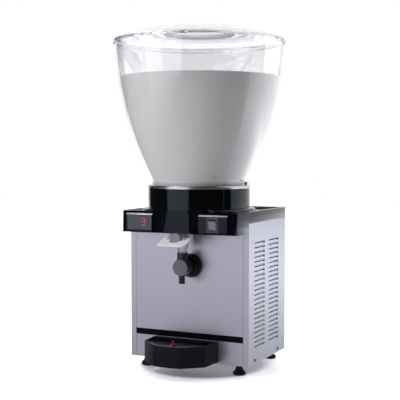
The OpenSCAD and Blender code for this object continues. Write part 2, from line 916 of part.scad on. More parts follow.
fan_shaft_len = 24;
fan_shaft_end = fan_y + fan_shaft_len;
fan_motor_gap = 4;
fan_motor_len = 40;
fan_motor_r = 26;
strut_x = 60;
strut_t = 4;
strut_h = 12;
strut_back = 14;
strut_y = fan_y + strut_back;
strut_half = 20;

module fan_motor() {
    color("gray") {
        difference() {
            rod_y(fan_x, fan_z, fan_y + fan_motor_gap, fan_y + fan_motor_gap + fan_motor_len, fan_motor_r);
            rod_y(fan_x, fan_z, fan_y, fan_shaft_end + clear, shaft_r + fit);
        }
        for (side = [-1, 1]) {
            translate([fan_x + side * strut_x, 0, fan_z])
                block([-strut_t / 2, shroud_y + shroud_t, -strut_h / 2], [strut_t / 2, strut_y, strut_h / 2]);
            translate([fan_x + side * (strut_x + fan_motor_r - 4) / 2, 0, fan_z])
                block([-strut_half, strut_y - strut_t, -strut_h / 2], [strut_half, strut_y, strut_h / 2]);
        }
    }
}

blades = 5;
fan_hub_r = 15;
fan_hub_len = 12;
blade_half = 13;
blade_pitch = 28;
blade_root = 12;

module fan_blades() {
    color([0.85, 0.85, 0.85]) {
        rod_y(fan_x, fan_z, fan_y + 2 - fan_hub_len, fan_y + 2, fan_hub_r);
        rod_y(fan_x, fan_z, fan_y + 1, fan_shaft_end, shaft_r);
        for (i = [0 : blades - 1]) translate([fan_x, fan_y - 4, fan_z]) rotate([0, i * 360 / blades, 0])
            translate([0, 0, blade_root]) rotate([0, 0, blade_pitch])
                block([-blade_half, -1, 0], [blade_half, 1, fan_r - blade_root - 4]);
    }
}

pipe_r = 4;
line_rise = 48;
line_low = pot_low + pot_h + line_rise;

// A pipe along straight runs, with a ball at each bend
module pipe(points, r) {
    for (i = [0 : len(points) - 2]) {
        a = points[i];
        b = points[i + 1];
        d = b - a;
        translate(a) rotate([0, acos(d[2] / norm(d)), atan2(d[1], d[0])])
            cylinder(h = norm(d), r = r, $fn = 32);
    }
    for (i = [1 : len(points) - 2]) translate(points[i]) sphere(r = r + 0.5, $fn = 32);
}

pot_port = 20;
suction_x = line_x + 7;
liquid_x = line_x - 9;
suction_turn = line_low + 30;
channel_z = drum_top - 14;
suction_y = 20;

module suction_pipe() {
    color("peru") pipe([
        [pot_x + pot_port, pot_y, pot_low + pot_h], [pot_x + pot_port, pot_y, suction_turn],
        [suction_x, pot_y, suction_turn],
        [suction_x, line_y, suction_turn], [suction_x, line_y, channel_z],
        [suction_x, suction_y, channel_z],
        [suction_x, suction_y, coil_low - 5], [suction_x + 13, suction_y, coil_low - 5],
        [suction_x + 13, suction_y, coil_low]
    ], pipe_r);
}

dryer_low = line_low + 12;
dryer_high = line_low + 92;
thin_r = 2;

module liquid_pipe() {
    color("peru") pipe([
        [liquid_x, cond_tube_y[0], fan_z + cond_h / 2], [liquid_x, cond_tube_y[0], line_low + 4],
        [liquid_x, line_y, line_low + 4], [liquid_x, line_y, dryer_low]
    ], thin_r);
}

// The filter with the thin tube that feeds the coil
module filter_dryer() {
    color("peru") {
        rod_z(liquid_x, line_y, dryer_low, dryer_high, 8);
        rod_z(liquid_x, line_y, dryer_high - cut, foam_high - 10, thin_r);
    }
}

// Tap

duct_top = dish_z;
barrel_front = -tap_reach + 3;
barrel_back = duct_y + 9;
bore_r = barrel_r - 3.3;
bore_back = duct_y + 2;
outlet_y = -95;
outlet_bore = 7.5;
pivot_y = -103;
trunnion_r = 4;
ear_in = 24;
ear_t = 3;
finger_r = 2.5;
finger_y = pivot_y;
bridge_z = tap_z + 22;
bridge_t = 3;
spool_shift = (bridge_z + bridge_t / 2 - tap_z) * sin(lever_throw);
boss_low = tap_z - 20;

module tap_body() {
    color("white") difference() {
        union() {
            rod_y(service_x, tap_z, barrel_front, barrel_back, barrel_r);
            rod_z(service_x, duct_y, tap_z, duct_top, duct_r);
            rod_z(service_x, outlet_y, boss_low, tap_z, tube_r + 2);
            rod_x(service_x - ear_in - ear_t, service_x + ear_in + ear_t, pivot_y, tap_z, trunnion_r);
        }
        rod_y(service_x, tap_z, barrel_front - cut, bore_back, bore_r);
        rod_z(service_x, duct_y, tap_z, duct_top + cut, duct_bore);
        rod_z(service_x, outlet_y, boss_low - cut, tap_z, outlet_bore);
        rod_z(service_x, outlet_y, boss_low - cut, boss_low + 6, tube_r + fit);
        block([service_x - finger_r - clear, finger_y - finger_r - spool_shift - 1, tap_z],
              [service_x + finger_r + clear, finger_y + finger_r + clear, tap_z + barrel_r + cut]);
    }
}

cap_r = barrel_r + 2;
cap_len = 8;

module tap_cap() {
    color([0.5, 0.5, 0.53]) difference() {
        rod_y(service_x, tap_z, -tap_reach, -tap_reach + cap_len, cap_r);
        rod_y(service_x, tap_z, -tap_reach + 3, -tap_reach + cap_len + cut, barrel_r + fit);
    }
}

cover_low = skirt_z + 1;
cover_high = rim_z + 3;
cover_t = 2;
cover_corner = 9;
cover_draw = 4.5;
cover_lean = 6.5;
cover_back = -drum_r + 20;

// The cover's front outline: rounded top corners and sides that flare downwards
module cover_outline(inset) {
    top = cover_high - cover_low - inset;
    narrow = cover_w / 2 - cover_draw - inset;
    wide = cover_w / 2 - inset;
    r = cover_corner - inset;
    polygon([
        [-wide, -cut], [wide, -cut], [narrow, top - r], [narrow - r, top], [-narrow + r, top],
        [-narrow, top - r]
    ]);
    for (side = [-1, 1]) translate([side * (narrow - r), top - r]) circle(r = r);
}

// The outline carried back, with its front sloped by the cover's lean
module cover_block(inset) {
    difference() {
        translate([service_x, cover_back, cover_low]) rotate([90, 0, 0])
            linear_extrude(height = cover_reach + cover_back) cover_outline(inset);
        translate([0, -cover_reach + inset, cover_low]) rotate([-cover_lean, 0, 0])
            block([-body_w, -40, -20], [body_w, 0, 2 * (cover_high - cover_low)]);
    }
}

module tap_cover() {
    color(satin) difference() {
        cover_block(0);
        cover_block(cover_t);
        rod_z(0, 0, skirt_z - 2 * cut, cover_high + cut, drum_r + seam);
        block([-body_w, -body_w, skirt_z - 5], [body_w, body_w, cover_low]);
        translate([0, hood_f - seam, skirt_z]) rotate([-hood_lean, 0, 0])
            block([-body_w, 0, -20], [body_w, body_d, 2 * (cover_high - cover_low)]);
    }
}

lever_t = 2.5;
lip_t = 4;
lever_len = 54;
lever_rise = 6.4;
lever_corner = 6;
lip_half = lever_w / 2 - lever_corner - 1;
notch_r = cap_r + 1;
lever_bar = 14.3;
horn_y = -10;
horn_draw = 2;
ear_r = 8;
fork_half = 4;
fork_gap = 0.9;
notch_y = -lever_len + lever_bar + notch_r;

// The lever's plate: rounded front corners, two horns, and a strip from each horn to its ear
module lever_plate() {
    half = lever_w / 2;
    strip = ear_in + ear_t / 2;
    polygon([
        [-half + lever_corner, -lever_len], [half - lever_corner, -lever_len],
        [half, -lever_len + lever_corner], [half, -lever_len + 2 * lever_corner],
        [half - horn_draw, horn_y], [strip, horn_y], [strip, 0],
        [-strip, 0], [-strip, horn_y], [-half + horn_draw, horn_y],
        [-half, -lever_len + 2 * lever_corner], [-half, -lever_len + lever_corner]
    ]);
    for (side = [-1, 1]) translate([side * (half - lever_corner), -lever_len + lever_corner])
        circle(r = lever_corner);
}

// The plate slopes down to the front, and two ears carry the bridge over the barrel
module tap_lever() {
    color([0.92, 0.92, 0.95]) translate([service_x, pivot_y, tap_z]) difference() {
        union() {
            rotate([lever_slope, 0, 0]) translate([0, 0, lever_rise]) difference() {
                union() {
                    translate([0, 0, -lever_t / 2]) linear_extrude(height = lever_t) lever_plate();
                    rod_x(-lip_half, lip_half, -lever_len, 0, lip_t / 2);
                }
                block([-ear_in, notch_y, -10], [ear_in, 20, 10]);
                translate([0, notch_y, -10]) cylinder(h = 20, r = notch_r);
            }
            for (side = [-1, 1]) translate([side * (ear_in + ear_t / 2), 0, 0]) {
                rod_x(-ear_t / 2, ear_t / 2, 0, 0, ear_r);
                block([-ear_t / 2, -5, 0], [ear_t / 2, 6, bridge_z - tap_z + bridge_t]);
            }
            block([-ear_in - ear_t, -6, bridge_z - tap_z], [ear_in + ear_t, 6, bridge_z - tap_z + bridge_t]);
        }
        rod_x(-lever_w, lever_w, 0, 0, trunnion_r + fit);
        block([-fork_half, -finger_r - fork_gap, bridge_z - tap_z - cut],
              [fork_half, finger_r + fork_gap, bridge_z - tap_z + bridge_t + cut]);
        block([-ear_in, -10, -12], [ear_in, 10, 12]);
    }
}

spool_front = finger_y - 5;

module tap_spool() {
    color([0.3, 0.3, 0.32]) {
        rod_y(service_x, tap_z, spool_front, outlet_y + outlet_bore, bore_r - clear);
        rod_z(service_x, finger_y, tap_z, bridge_z + bridge_t + 0.5, finger_r);
    }
}

module spool_spring() {
    color("silver") difference() {
        rod_y(service_x, tap_z, -tap_reach + 3, spool_front, bore_r - 1);
        rod_y(service_x, tap_z, -tap_reach + 2, spool_front + cut, bore_r - 3);
    }
}

tube_top = boss_low + 6;
socket_rise = 14;
socket_top = frother_z + frother_r + socket_rise;
tube_low = socket_top - 9;

module outlet_tube() {
    color([0.85, 0.87, 0.9]) difference() {
        rod_z(service_x, outlet_y, tube_low, tube_top, tube_r);
        rod_z(service_x, outlet_y, tube_low - cut, tube_top + cut, outlet_bore);
    }
}

// Frother

flange_t = 5;
collar_len = 11;
frother_collar_r = frother_r + 4.5;
frother_front = yf - frother_len;
housing_back = yf - flange_t;
cap_t = 2.8;
chamber_r = frother_r - 3;

module frother_flange() {
    color(black) difference() {
        union() {
            rod_y(service_x + frother_flange_side, frother_z, yf - flange_t, yf, frother_flange_r);
            rod_y(service_x, frother_z, yf - flange_t - collar_len, yf, frother_collar_r);
        }
        rod_y(service_x, frother_z, yf - flange_t - collar_len - cut, housing_back, frother_r + fit);
        rod_y(service_x, frother_z, yf - 2 * flange_t, yf + cut, shaft_r + fit);
    }
}

nozzle_y = frother_front + cap_t + nozzle_r + 0.2;
socket_wall = 1.6;

module frother_housing() {
    tip = z0 + nozzle_h;
    color(black) difference() {
        union() {
            rod_y(service_x, frother_z, frother_front + cap_t, housing_back, frother_r);
            intersection() {
                rod_z(service_x, outlet_y, frother_z, socket_top, tube_r + socket_wall);
                block([-body_w, frother_front + cap_t, 0], [body_w, yf, rim_z]);
            }
            rod_z(service_x, nozzle_y, tip, frother_z, nozzle_r);
        }
        rod_y(service_x, frother_z, frother_front + cap_t - cut, housing_back + cut, chamber_r);
        rod_z(service_x, outlet_y, tube_low, socket_top + cut, tube_r + fit);
        rod_z(service_x, outlet_y, frother_z, socket_top, outlet_bore);
        rod_z(service_x, nozzle_y, tip - cut, frother_z, nozzle_r - 2);
    }
}

module frother_cap() {
    color([0.36, 0.36, 0.4]) difference() {
        union() {
            rod_y(service_x, frother_z, frother_front, frother_front + cap_t, frother_r);
            rod_y(service_x, frother_z, frother_front + cap_t, frother_front + cap_t + 5, chamber_r - fit);
        }
        rod_y(service_x, frother_z, frother_front + cap_t, frother_front + cap_t + 6, chamber_r - 2);
    }
}

impeller_y = frother_front + cap_t + 6;
drive_back = yf + 12;

module frother_impeller() {
    color("white") {
        rod_y(service_x, frother_z, impeller_y + 8, impeller_y + 11, chamber_r - 3);
        for (i = [0 : 5]) translate([service_x, 0, frother_z]) rotate([0, i * 60, 0])
            block([2, impeller_y, -0.8], [chamber_r - 4, impeller_y + 9, 0.8]);
        rod_y(service_x, frother_z, impeller_y, drive_back, shaft_r);
    }
}

frother_motor_r = 26;

module frother_motor() {
    color("gray") difference() {
        union() {
            rod_y(service_x, frother_z, yf + sheet_t, yf + sheet_t + 55, frother_motor_r);
            rod_y(service_x, frother_z, yf, yf + sheet_t, bush_hole_r - 0.5);
        }
        rod_y(service_x, frother_z, yf - cut, drive_back + clear, shaft_r + fit);
    }
}

// Drip tray

tray_z = z0 + tray_low;
tray_top = tray_z + tray_h;
tray_back = yf - strip_t - clear;
tray_nose = yf - tray_len;
shoulder_y = yf - 61;
nose_half = 34;
nose_y = tray_nose + 4;
bow_r = (nose_half * nose_half + 16) / 8;

// The tray's plan, drawn in by a margin all round
module tray_plan(margin) {
    turn = margin * 0.4;
    intersection() {
        polygon([
            [-tray_half + margin, tray_back - margin],
            [-tray_half + tray_draw + margin, shoulder_y + turn],
            [-nose_half + turn, nose_y + margin], [-nose_half + turn, tray_nose - 5],
            [nose_half - turn, tray_nose - 5], [nose_half - turn, nose_y + margin],
            [tray_half - tray_draw - margin, shoulder_y + turn],
            [tray_half - margin, tray_back - margin]
        ]);
        translate([0, tray_nose + bow_r]) circle(r = bow_r - margin, $fn = 360);
    }
}

ledge_w = 3;
grille_t = 2.5;
grille_z = tray_top - 1.5 - grille_t;
peg_r = 3;
peg_z = tray_z + 28;
peg_x = 24;
peg_len = 4;

module drip_tray() {
    color(black) translate([tray_x, 0, 0]) difference() {
        translate([0, 0, tray_z]) linear_extrude(height = tray_h) tray_plan(0);
        translate([0, 0, tray_z + tray_t]) linear_extrude(height = tray_h) tray_plan(tray_t + ledge_w);
        translate([0, 0, grille_z]) linear_extrude(height = tray_h) tray_plan(tray_t);
        for (side = [-1, 1])
            rod_y(side * peg_x, peg_z, tray_back - peg_len - 0.2, tray_back + cut, peg_r + clear);
    }
}

float_y = tray_nose + 34;
float_stem_r = 2.2;

module tray_grille() {
    margin = tray_t + clear;
    color(black) translate([tray_x, 0, 0]) difference() {
        translate([0, 0, grille_z]) linear_extrude(height = grille_t) tray_plan(margin);
        for (i = [-10 : 10]) if (abs(i) > 0 && abs(i * grille_pitch) < tray_half - tray_draw - 6)
            translate([i * grille_pitch, 0, 0]) grille_slots(abs(i * grille_pitch));
        rod_z(0, float_y, grille_z - cut, grille_z + grille_t + cut, float_stem_r + 0.6);
        for (i = [-10 : 9]) translate([(i + 0.5) * grille_pitch, 0, 0])
            block([-grille_slot / 2, tray_back - margin - 3, grille_z - cut],
                  [grille_slot / 2, tray_back, grille_z + grille_t + cut]);
    }
}

// One slot of the grille, in two runs with a bar between them
module grille_slots(x) {
    front = nose_y + 10 + max(0, x - nose_half + 8);
    back_end = tray_back - 10;
    middle = (tray_nose + tray_back) / 2;
    for (run_y = [[front, middle - 2], [middle + 2, back_end]])
        block([-grille_slot / 2, run_y[0], grille_z - cut],
              [grille_slot / 2, run_y[1], grille_z + grille_t + cut]);
}

float_r = 10;
float_low = tray_z + tray_t;
float_top = z0 + 58;

module tray_float() {
    color("red") translate([tray_x, 0, 0]) {
        rod_z(0, float_y, float_low, float_low + 8, float_r);
        rod_z(0, float_y, float_low, float_top, float_stem_r);
    }
}

module tray_bracket() {
    color("dimgray") translate([tray_x, 0, 0]) {
        block([-peg_x - 6, yf - strip_t, peg_z - 6], [peg_x + 6, yf, peg_z + 6]);
        for (side = [-1, 1]) rod_y(side * peg_x, peg_z, yf - strip_t - peg_len, yf, peg_r);
    }
}

recess_w = 24;
recess_h = 16;
recess_deep = 15;
pin_step = 7;

module power_inlet() {
    color(black) difference() {
        union() {
            block([inlet_x - inlet_w / 2 - 8, yb, inlet_z - inlet_h / 2 - 4],
                  [inlet_x + inlet_w / 2 + 8, yb + 3, inlet_z + inlet_h / 2 + 4]);
            block([inlet_x - inlet_w / 2 + seam, yb - 22, inlet_z - inlet_h / 2 + seam],
                  [inlet_x + inlet_w / 2 - seam, yb, inlet_z + inlet_h / 2 - seam]);
        }
        block([inlet_x - recess_w / 2, yb - recess_deep, inlet_z - recess_h / 2],
              [inlet_x + recess_w / 2, yb + 4, inlet_z + recess_h / 2]);
    }
    color(steel) for (x = [-pin_step, 0, pin_step])
        block([inlet_x + x - 1, yb - recess_deep, inlet_z - 2], [inlet_x + x + 1, yb - 3, inlet_z + 2]);
}

base_pan();
left_panel();
right_panel();
front_panel();
rear_panel();
top_plate();
top_hood();
front_strip();
panel_screws();
foot(-foot_x, foot_y[0]);  // foot_front_left
foot(foot_x, foot_y[0]);  // foot_front_right
foot(-foot_x, foot_y[1]);  // foot_rear_left
foot(foot_x, foot_y[1]);  // foot_rear_right
thermostat();
display_digit();
display_key(0);  // key_set
display_key(1);  // key_up
display_key(2);  // key_down
display_key(3);  // key_light
switch_frame();
switch_rocker();
drum();
drum_foam();
neck_ring();
evaporator();
cooling_coil();
stirrer_motor();
drive_magnet();
stirrer();
compressor();
compressor_grommets();
condenser();
fan_shroud();
fan_motor();
fan_blades();
filter_dryer();
suction_pipe();
liquid_pipe();
tap_body();
tap_cap();
tap_cover();
tap_lever();
tap_spool();
spool_spring();
outlet_tube();
frother_flange();
frother_housing();
frother_cap();
frother_impeller();
frother_motor();
drip_tray();
tray_grille();
tray_float();
tray_bracket();
power_inlet();
bowl();
bowl_seal();
lid();
drink();
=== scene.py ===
# %% [markdown]
# # A counter-top cold drink dispenser
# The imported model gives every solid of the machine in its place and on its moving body. This
# lesson dresses it: it rounds the moulded edges, remakes the clear and moulded pieces as finer
# meshes, gives every piece a finish, and sets up a plain studio round it.

# %% Load the frame
import bpy
import bmesh
import math
from mathutils import Matrix, Vector


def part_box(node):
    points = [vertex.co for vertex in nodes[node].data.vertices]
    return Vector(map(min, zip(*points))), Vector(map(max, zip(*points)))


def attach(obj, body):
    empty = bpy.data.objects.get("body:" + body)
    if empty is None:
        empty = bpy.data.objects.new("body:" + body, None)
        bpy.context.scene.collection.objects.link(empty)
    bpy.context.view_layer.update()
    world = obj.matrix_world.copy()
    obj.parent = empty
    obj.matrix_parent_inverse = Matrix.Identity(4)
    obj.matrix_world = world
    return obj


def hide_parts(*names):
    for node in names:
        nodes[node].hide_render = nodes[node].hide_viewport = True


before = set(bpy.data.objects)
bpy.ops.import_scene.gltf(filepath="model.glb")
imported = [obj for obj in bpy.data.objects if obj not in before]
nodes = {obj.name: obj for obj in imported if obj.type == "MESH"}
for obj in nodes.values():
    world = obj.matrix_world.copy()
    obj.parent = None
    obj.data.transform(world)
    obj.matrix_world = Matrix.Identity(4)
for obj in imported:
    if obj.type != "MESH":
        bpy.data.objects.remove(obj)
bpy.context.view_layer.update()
MM = 0.001

# %% [markdown]
# ## Shader groups
# Several finishes share the same small effects. Each effect is a node group with named inputs
# and outputs, so that a material only sets its own numbers. Pictures could carry these effects
# too, but noise stays sharp at any distance and needs no unwrapping.

# %% Helpers that open a shader group and fill it
def new_group(name, inputs, outputs):
    tree = bpy.data.node_groups.new(name, "ShaderNodeTree")
    for label, kind, value in inputs:
        socket = tree.interface.new_socket(name=label, in_out="INPUT", socket_type=kind)
        socket.default_value = value
    for label, kind in outputs:
        tree.interface.new_socket(name=label, in_out="OUTPUT", socket_type=kind)
    return tree, tree.nodes.new("NodeGroupInput"), tree.nodes.new("NodeGroupOutput")


def add(tree, kind, settings=None, **inputs):
    """A node, its settings, and its inputs by name or, with an underscore, by number."""
    made = tree.nodes.new("ShaderNode" + kind)
    for key, value in (settings or {}).items():
        setattr(made, key, value)
    for key, value in inputs.items():
        socket = made.inputs[int(key[1:])] if key[0] == "_" else made.inputs[key.replace("_", " ")]
        if isinstance(value, bpy.types.NodeSocket):
            tree.links.new(value, socket)
        else:
            socket.default_value = value
    return made


def math_node(tree, operation, a, b=0.0, c=0.0, clamp=False):
    """The result of a Math node; c is what a multiply-add adds."""
    settings = {"operation": operation, "use_clamp": clamp}
    return add(tree, "Math", settings, _0=a, _1=b, _2=c).outputs[0]


print("ready: new_group, add, math_node")

# %% [markdown]
# ### What the two skins share
# Moulded plastic and rolled steel are both a little uneven: a slow noise shifts their colour
# and gloss, and a fine one raises their surface. The shared part is made by helpers, so that
# each group only says how its two noises run.

# %% Helpers for the two skins
NOISE_DETAIL, NOISE_MEAN = 3.0, 0.5


def skin_group(name, pattern):
    """A group for a skin; pattern is the input that sets the run of its fine noise."""
    return new_group(name, [
        ("Color", "NodeSocketColor", (0.5, 0.5, 0.5, 1)), ("Variation", "NodeSocketFloat", 0.06),
        ("Roughness", "NodeSocketFloat", 0.3), ("Spread", "NodeSocketFloat", 0.1), pattern,
    ], [
        ("Color", "NodeSocketColor"), ("Roughness", "NodeSocketFloat"),
        ("Height", "NodeSocketFloat"),
    ])


def noise(tree, place, scale, detail=NOISE_DETAIL):
    return add(tree, "TexNoise", Vector=place, Scale=scale, Detail=detail).outputs["Fac"]


def skin_outputs(tree, head, tail, slow, fine):
    """Colour and gloss follow the slow noise, and the height follows the fine one."""
    shade = math_node(tree, "MULTIPLY_ADD", slow, head.outputs["Variation"], 1.0)
    tint = add(tree, "VectorMath", {"operation": "SCALE"}, _0=head.outputs["Color"], Scale=shade)
    rough = math_node(tree, "MULTIPLY", slow, head.outputs["Spread"])
    rough = math_node(tree, "ADD", rough, head.outputs["Roughness"], clamp=True)
    tree.links.new(tint.outputs[0], tail.inputs["Color"])
    tree.links.new(rough, tail.inputs["Roughness"])
    tree.links.new(fine, tail.inputs["Height"])


print("ready: skin_group, noise, skin_outputs")

# %% [markdown]
# ### Moulded skin
# Moulded plastic is never quite even: its gloss wanders over a hand's width, and a fine
# unevenness breaks up the highlights. Noise at two scales gives both.

# %% Group: moulded skin
HAND_WIDTH_SCALE, FINE_DETAIL = 9.0, 2.0


def moulded_skin():
    tree, head, tail = skin_group("moulded skin", ("Grain", "NodeSocketFloat", 900.0))
    place = add(tree, "TexCoord").outputs["Object"]
    broad = noise(tree, place, HAND_WIDTH_SCALE)
    fine = noise(tree, place, head.outputs["Grain"], FINE_DETAIL)
    skin_outputs(tree, head, tail, math_node(tree, "SUBTRACT", broad, NOISE_MEAN), fine)
    return tree


SKIN = moulded_skin()
print("group:", SKIN.name)

# %% [markdown]
# ### Rolled grain
# Sheet steel is rolled and polished along one direction. Noise stretched along that direction
# gives the fine lines, and a slow noise gives the faint clouding of a wiped panel. An
# anisotropic shader would show the direction too, but not the lines themselves.

# %% Group: rolled grain
CLOUD_SCALE, CLOUD_SHARE = 7.0, 0.6
GRAIN_MEAN = NOISE_MEAN * (1 + CLOUD_SHARE)


def rolled_grain():
    tree, head, tail = skin_group(
        "rolled grain", ("Stretch", "NodeSocketVector", (900.0, 900.0, 12.0)))
    place = add(tree, "TexCoord").outputs["Object"]
    stretch = head.outputs["Stretch"]
    along = add(tree, "VectorMath", {"operation": "MULTIPLY"}, _0=place, _1=stretch).outputs[0]
    lines = noise(tree, along, 1.0)
    cloud = noise(tree, place, CLOUD_SCALE)
    both = math_node(tree, "MULTIPLY_ADD", cloud, CLOUD_SHARE, lines)
    skin_outputs(tree, head, tail, math_node(tree, "SUBTRACT", both, GRAIN_MEAN), lines)
    return tree


GRAIN = rolled_grain()
print("group:", GRAIN.name)

# %% [markdown]
# ### Worn edges and painted highlights
# Corners that hands and cloths rub are a little paler than the faces, and the same pale edge is
# also a painted highlight for the light that edges catch. The angle between the true normal and
# a rounded one is large only near an edge, so it makes the mask, and a noise makes it patchy,
# as rubbing does.

# %% Group: worn edges and painted highlights
EDGE_WIDTH, EDGE_SAMPLES, EDGE_GAIN, PATCH_SCALE = 0.8 * MM, 4, 6.0, 60.0


def worn_edges_and_highlight():
    tree, head, tail = new_group("worn edges and painted highlight", [
        ("Width", "NodeSocketFloat", EDGE_WIDTH), ("Strength", "NodeSocketFloat", 0.5),
    ], [("Mask", "NodeSocketFloat")])
    rounded_one = add(tree, "Bevel", {"samples": EDGE_SAMPLES}, Radius=head.outputs["Width"])
    true_one = add(tree, "NewGeometry").outputs["Normal"]
    same = add(tree, "VectorMath", {"operation": "DOT_PRODUCT"}, _0=rounded_one.outputs[0],
               _1=true_one).outputs["Value"]
    # This edge mask paints wear and a highlight along the edges.
    edge = math_node(tree, "SUBTRACT", 1.0, same)
    edge = math_node(tree, "MULTIPLY", edge, EDGE_GAIN, clamp=True)
    patchy = noise(tree, add(tree, "TexCoord").outputs["Object"], PATCH_SCALE)
    edge = math_node(tree, "MULTIPLY", edge, patchy)
    edge = math_node(tree, "MULTIPLY", edge, head.outputs["Strength"], clamp=True)
    tree.links.new(edge, tail.inputs["Mask"])
    return tree


WEAR_AND_HIGHLIGHT = worn_edges_and_highlight()
print("group:", WEAR_AND_HIGHLIGHT.name)

# %% [markdown]
# ## Materials
# Each finish is a Principled shader whose colour, roughness and bump come from one of the
# groups. Numbers that are the same all over a piece are set on the shader itself. One helper
# makes every opaque finish, so that a finish is only a name, a colour and a few numbers.

# %% Helpers for the opaque finishes
RELIEF_HEIGHT = 0.2 * MM


def place_group(tree, group, **values):
    """A shader group in a material, with its inputs set by name."""
    made = tree.nodes.new("ShaderNodeGroup")
    made.node_tree = group
    for key, value in values.items():
        made.inputs[key].default_value = value
    return made


def finish_material(name, color, rough, group=SKIN, metallic=0.0, variation=0.06, spread=0.08,
                    relief=0.2, grain=900.0, stretch=(900, 900, 12), wear_and_highlight=0.0, wear_and_highlight_color=None,
                    **extra):
    """An opaque finish; extra names are sockets of the shader itself."""
    made = bpy.data.materials.new(name)
    made.use_nodes = True
    tree = made.node_tree
    shader = tree.nodes["Principled BSDF"]
    shader.inputs["Metallic"].default_value = metallic
    for key, value in extra.items():
        shader.inputs[key.replace("_", " ")].default_value = value
    pattern = {"Grain": grain} if group == SKIN else {"Stretch": stretch}
    skin = place_group(tree, group, Color=(*color, 1), Variation=variation, Roughness=rough,
                       Spread=spread, **pattern)
    base = skin.outputs["Color"]
    # The pale edge is rubbed wear and also a painted highlight.
    if wear_and_highlight:
        mask = place_group(tree, WEAR_AND_HIGHLIGHT, Strength=wear_and_highlight).outputs["Mask"]
        mix = add(tree, "Mix", {"data_type": "RGBA"}, _0=mask, _6=base, _7=(*wear_and_highlight_color, 1))
        base = mix.outputs[2]
    bump = add(tree, "Bump", Height=skin.outputs["Height"], Strength=relief,
               Distance=RELIEF_HEIGHT)
    tree.links.new(base, shader.inputs["Base Color"])
    tree.links.new(skin.outputs["Roughness"], shader.inputs["Roughness"])
    tree.links.new(bump.outputs[0], shader.inputs["Normal"])
    return made


def paint(made, *names):
    """Gives CAD nodes this finish."""
    for name in names:
        slots = nodes[name].data.materials
        for index in range(len(slots)):
            slots[index] = made
    return made


print("ready: place_group, finish_material, paint")

# %% [markdown]
# ### The cabinet's steel
# The cabinet is satin stainless sheet. Its grain runs up and down on the front and from front
# to back on the sides, so the rolled grain is stretched each way. The front and the sides are
# one steel, but each has its own tone with a lavender cast, painted for how the light falls on
# it. The narrow front faces of the side panels stand in the front's plane, so they take the
# front's finish and its painted tone.

# %% Cabinet steel
SATIN = {"metallic": 1.0, "variation": 0.05, "spread": 0.06, "relief": 0.05}
FACES_FRONT = -0.9
# Two tones of one steel, painted lighter on the front and darker on the sides, with a lavender cast
# for the light.
steel_front_painted_tone = paint(finish_material(
    "satin stainless front", (0.495, 0.48, 0.572), 0.34, GRAIN, stretch=(1400, 1400, 9), **SATIN),
    "front_panel")
steel_side_painted_tone = paint(finish_material(
    "satin stainless sides", (0.445, 0.462, 0.523), 0.36, GRAIN, stretch=(1400, 9, 1400), **SATIN),
    "left_panel", "right_panel", "rear_panel")
# Faces that look forward take the front's painted tone.
for panel_name in ("left_panel", "right_panel"):
    panel = nodes[panel_name].data
    panel.materials.append(steel_front_painted_tone)
    for face in panel.polygons:
        if face.normal.y < FACES_FRONT:
            face.material_index = len(panel.materials) - 1
print("cabinet steel:", steel_front_painted_tone.name, "and", steel_side_painted_tone.name)

# %% [markdown]
# ### Bright metal, copper and cast pieces
# The ring is polished and the dome is spun, so their grain runs round them. Copper is drawn
# along the pipe, and the fins and the base are plain sheet. The motors are cast and painted, so
# they use the moulded skin with some metal in it.

# %% Other metals
paint(finish_material(
    "plain galvanised sheet", (0.55, 0.56, 0.57), 0.45, GRAIN, metallic=1.0, variation=0.2,
    spread=0.2, relief=0.1, stretch=(300, 300, 300)), "base_pan", "top_plate")
paint(finish_material(
    "polished ring", (0.62, 0.62, 0.66), 0.24, GRAIN, metallic=1.0, variation=0.04, spread=0.05,
    relief=0.03, stretch=(60, 60, 1500)), "neck_ring")
paint(finish_material(
    "spun steel dome", (0.66, 0.66, 0.67), 0.25, GRAIN, metallic=1.0, variation=0.08,
    spread=0.08, relief=0.1, stretch=(14, 14, 1200)), "evaporator")
paint(finish_material(
    "drawn copper", (0.72, 0.38, 0.24), 0.3, GRAIN, metallic=1.0, variation=0.3, spread=0.2,
    relief=0.1, stretch=(500, 500, 60)),
    "cooling_coil", "filter_dryer", "suction_pipe", "liquid_pipe")
paint(finish_material(
    "bare aluminium fins", (0.62, 0.63, 0.65), 0.4, GRAIN, metallic=1.0, variation=0.15,
    spread=0.15, relief=0.1, stretch=(900, 60, 900)), "condenser")
paint(finish_material(
    "cast motor housing", (0.32, 0.33, 0.35), 0.5, metallic=0.8, variation=0.15, spread=0.2,
    relief=0.5, grain=1500.0), "fan_motor", "frother_motor", "stirrer_motor", "drive_magnet")
paint(finish_material(
    "spring wire", (0.6, 0.6, 0.6), 0.3, GRAIN, metallic=1.0, stretch=(200, 2500, 200)),
    "spool_spring")
screw_steel = paint(finish_material(
    "dark screw heads", (0.12, 0.12, 0.13), 0.35, GRAIN, metallic=1.0), "panel_screws")
print("materials in the file:", len(bpy.data.materials))

# %% [markdown]
# ### Black mouldings
# The hood and drum are glossy black mouldings that mirror the room, and the cool tint of the
# black mouldings' reflections is painted, standing in for the colour of the light; the cover and
# the tray are satin, and paler at their edges, which is wear and a painted highlight. The hood's
# front is a darker copy of its finish that mirrors less, a painted shade for the dark part of the
# room it faces, and the pads' sloped edges have a pale finish that is a painted highlight.

# %% Black mouldings
# A cool tint on the reflections: a painted colour of the light, not of the plastic.
COOL_PAINTED_REFLECTION = (0.68, 0.78, 1.0, 1)
hood_black = paint(finish_material(
    "gloss black hood", (0.002, 0.002, 0.003), 0.10, variation=0.2, spread=0.05, relief=0.06,
    grain=350.0, wear_and_highlight=0.25, wear_and_highlight_color=(0.03, 0.03, 0.035), Specular_Tint=COOL_PAINTED_REFLECTION), "top_hood")
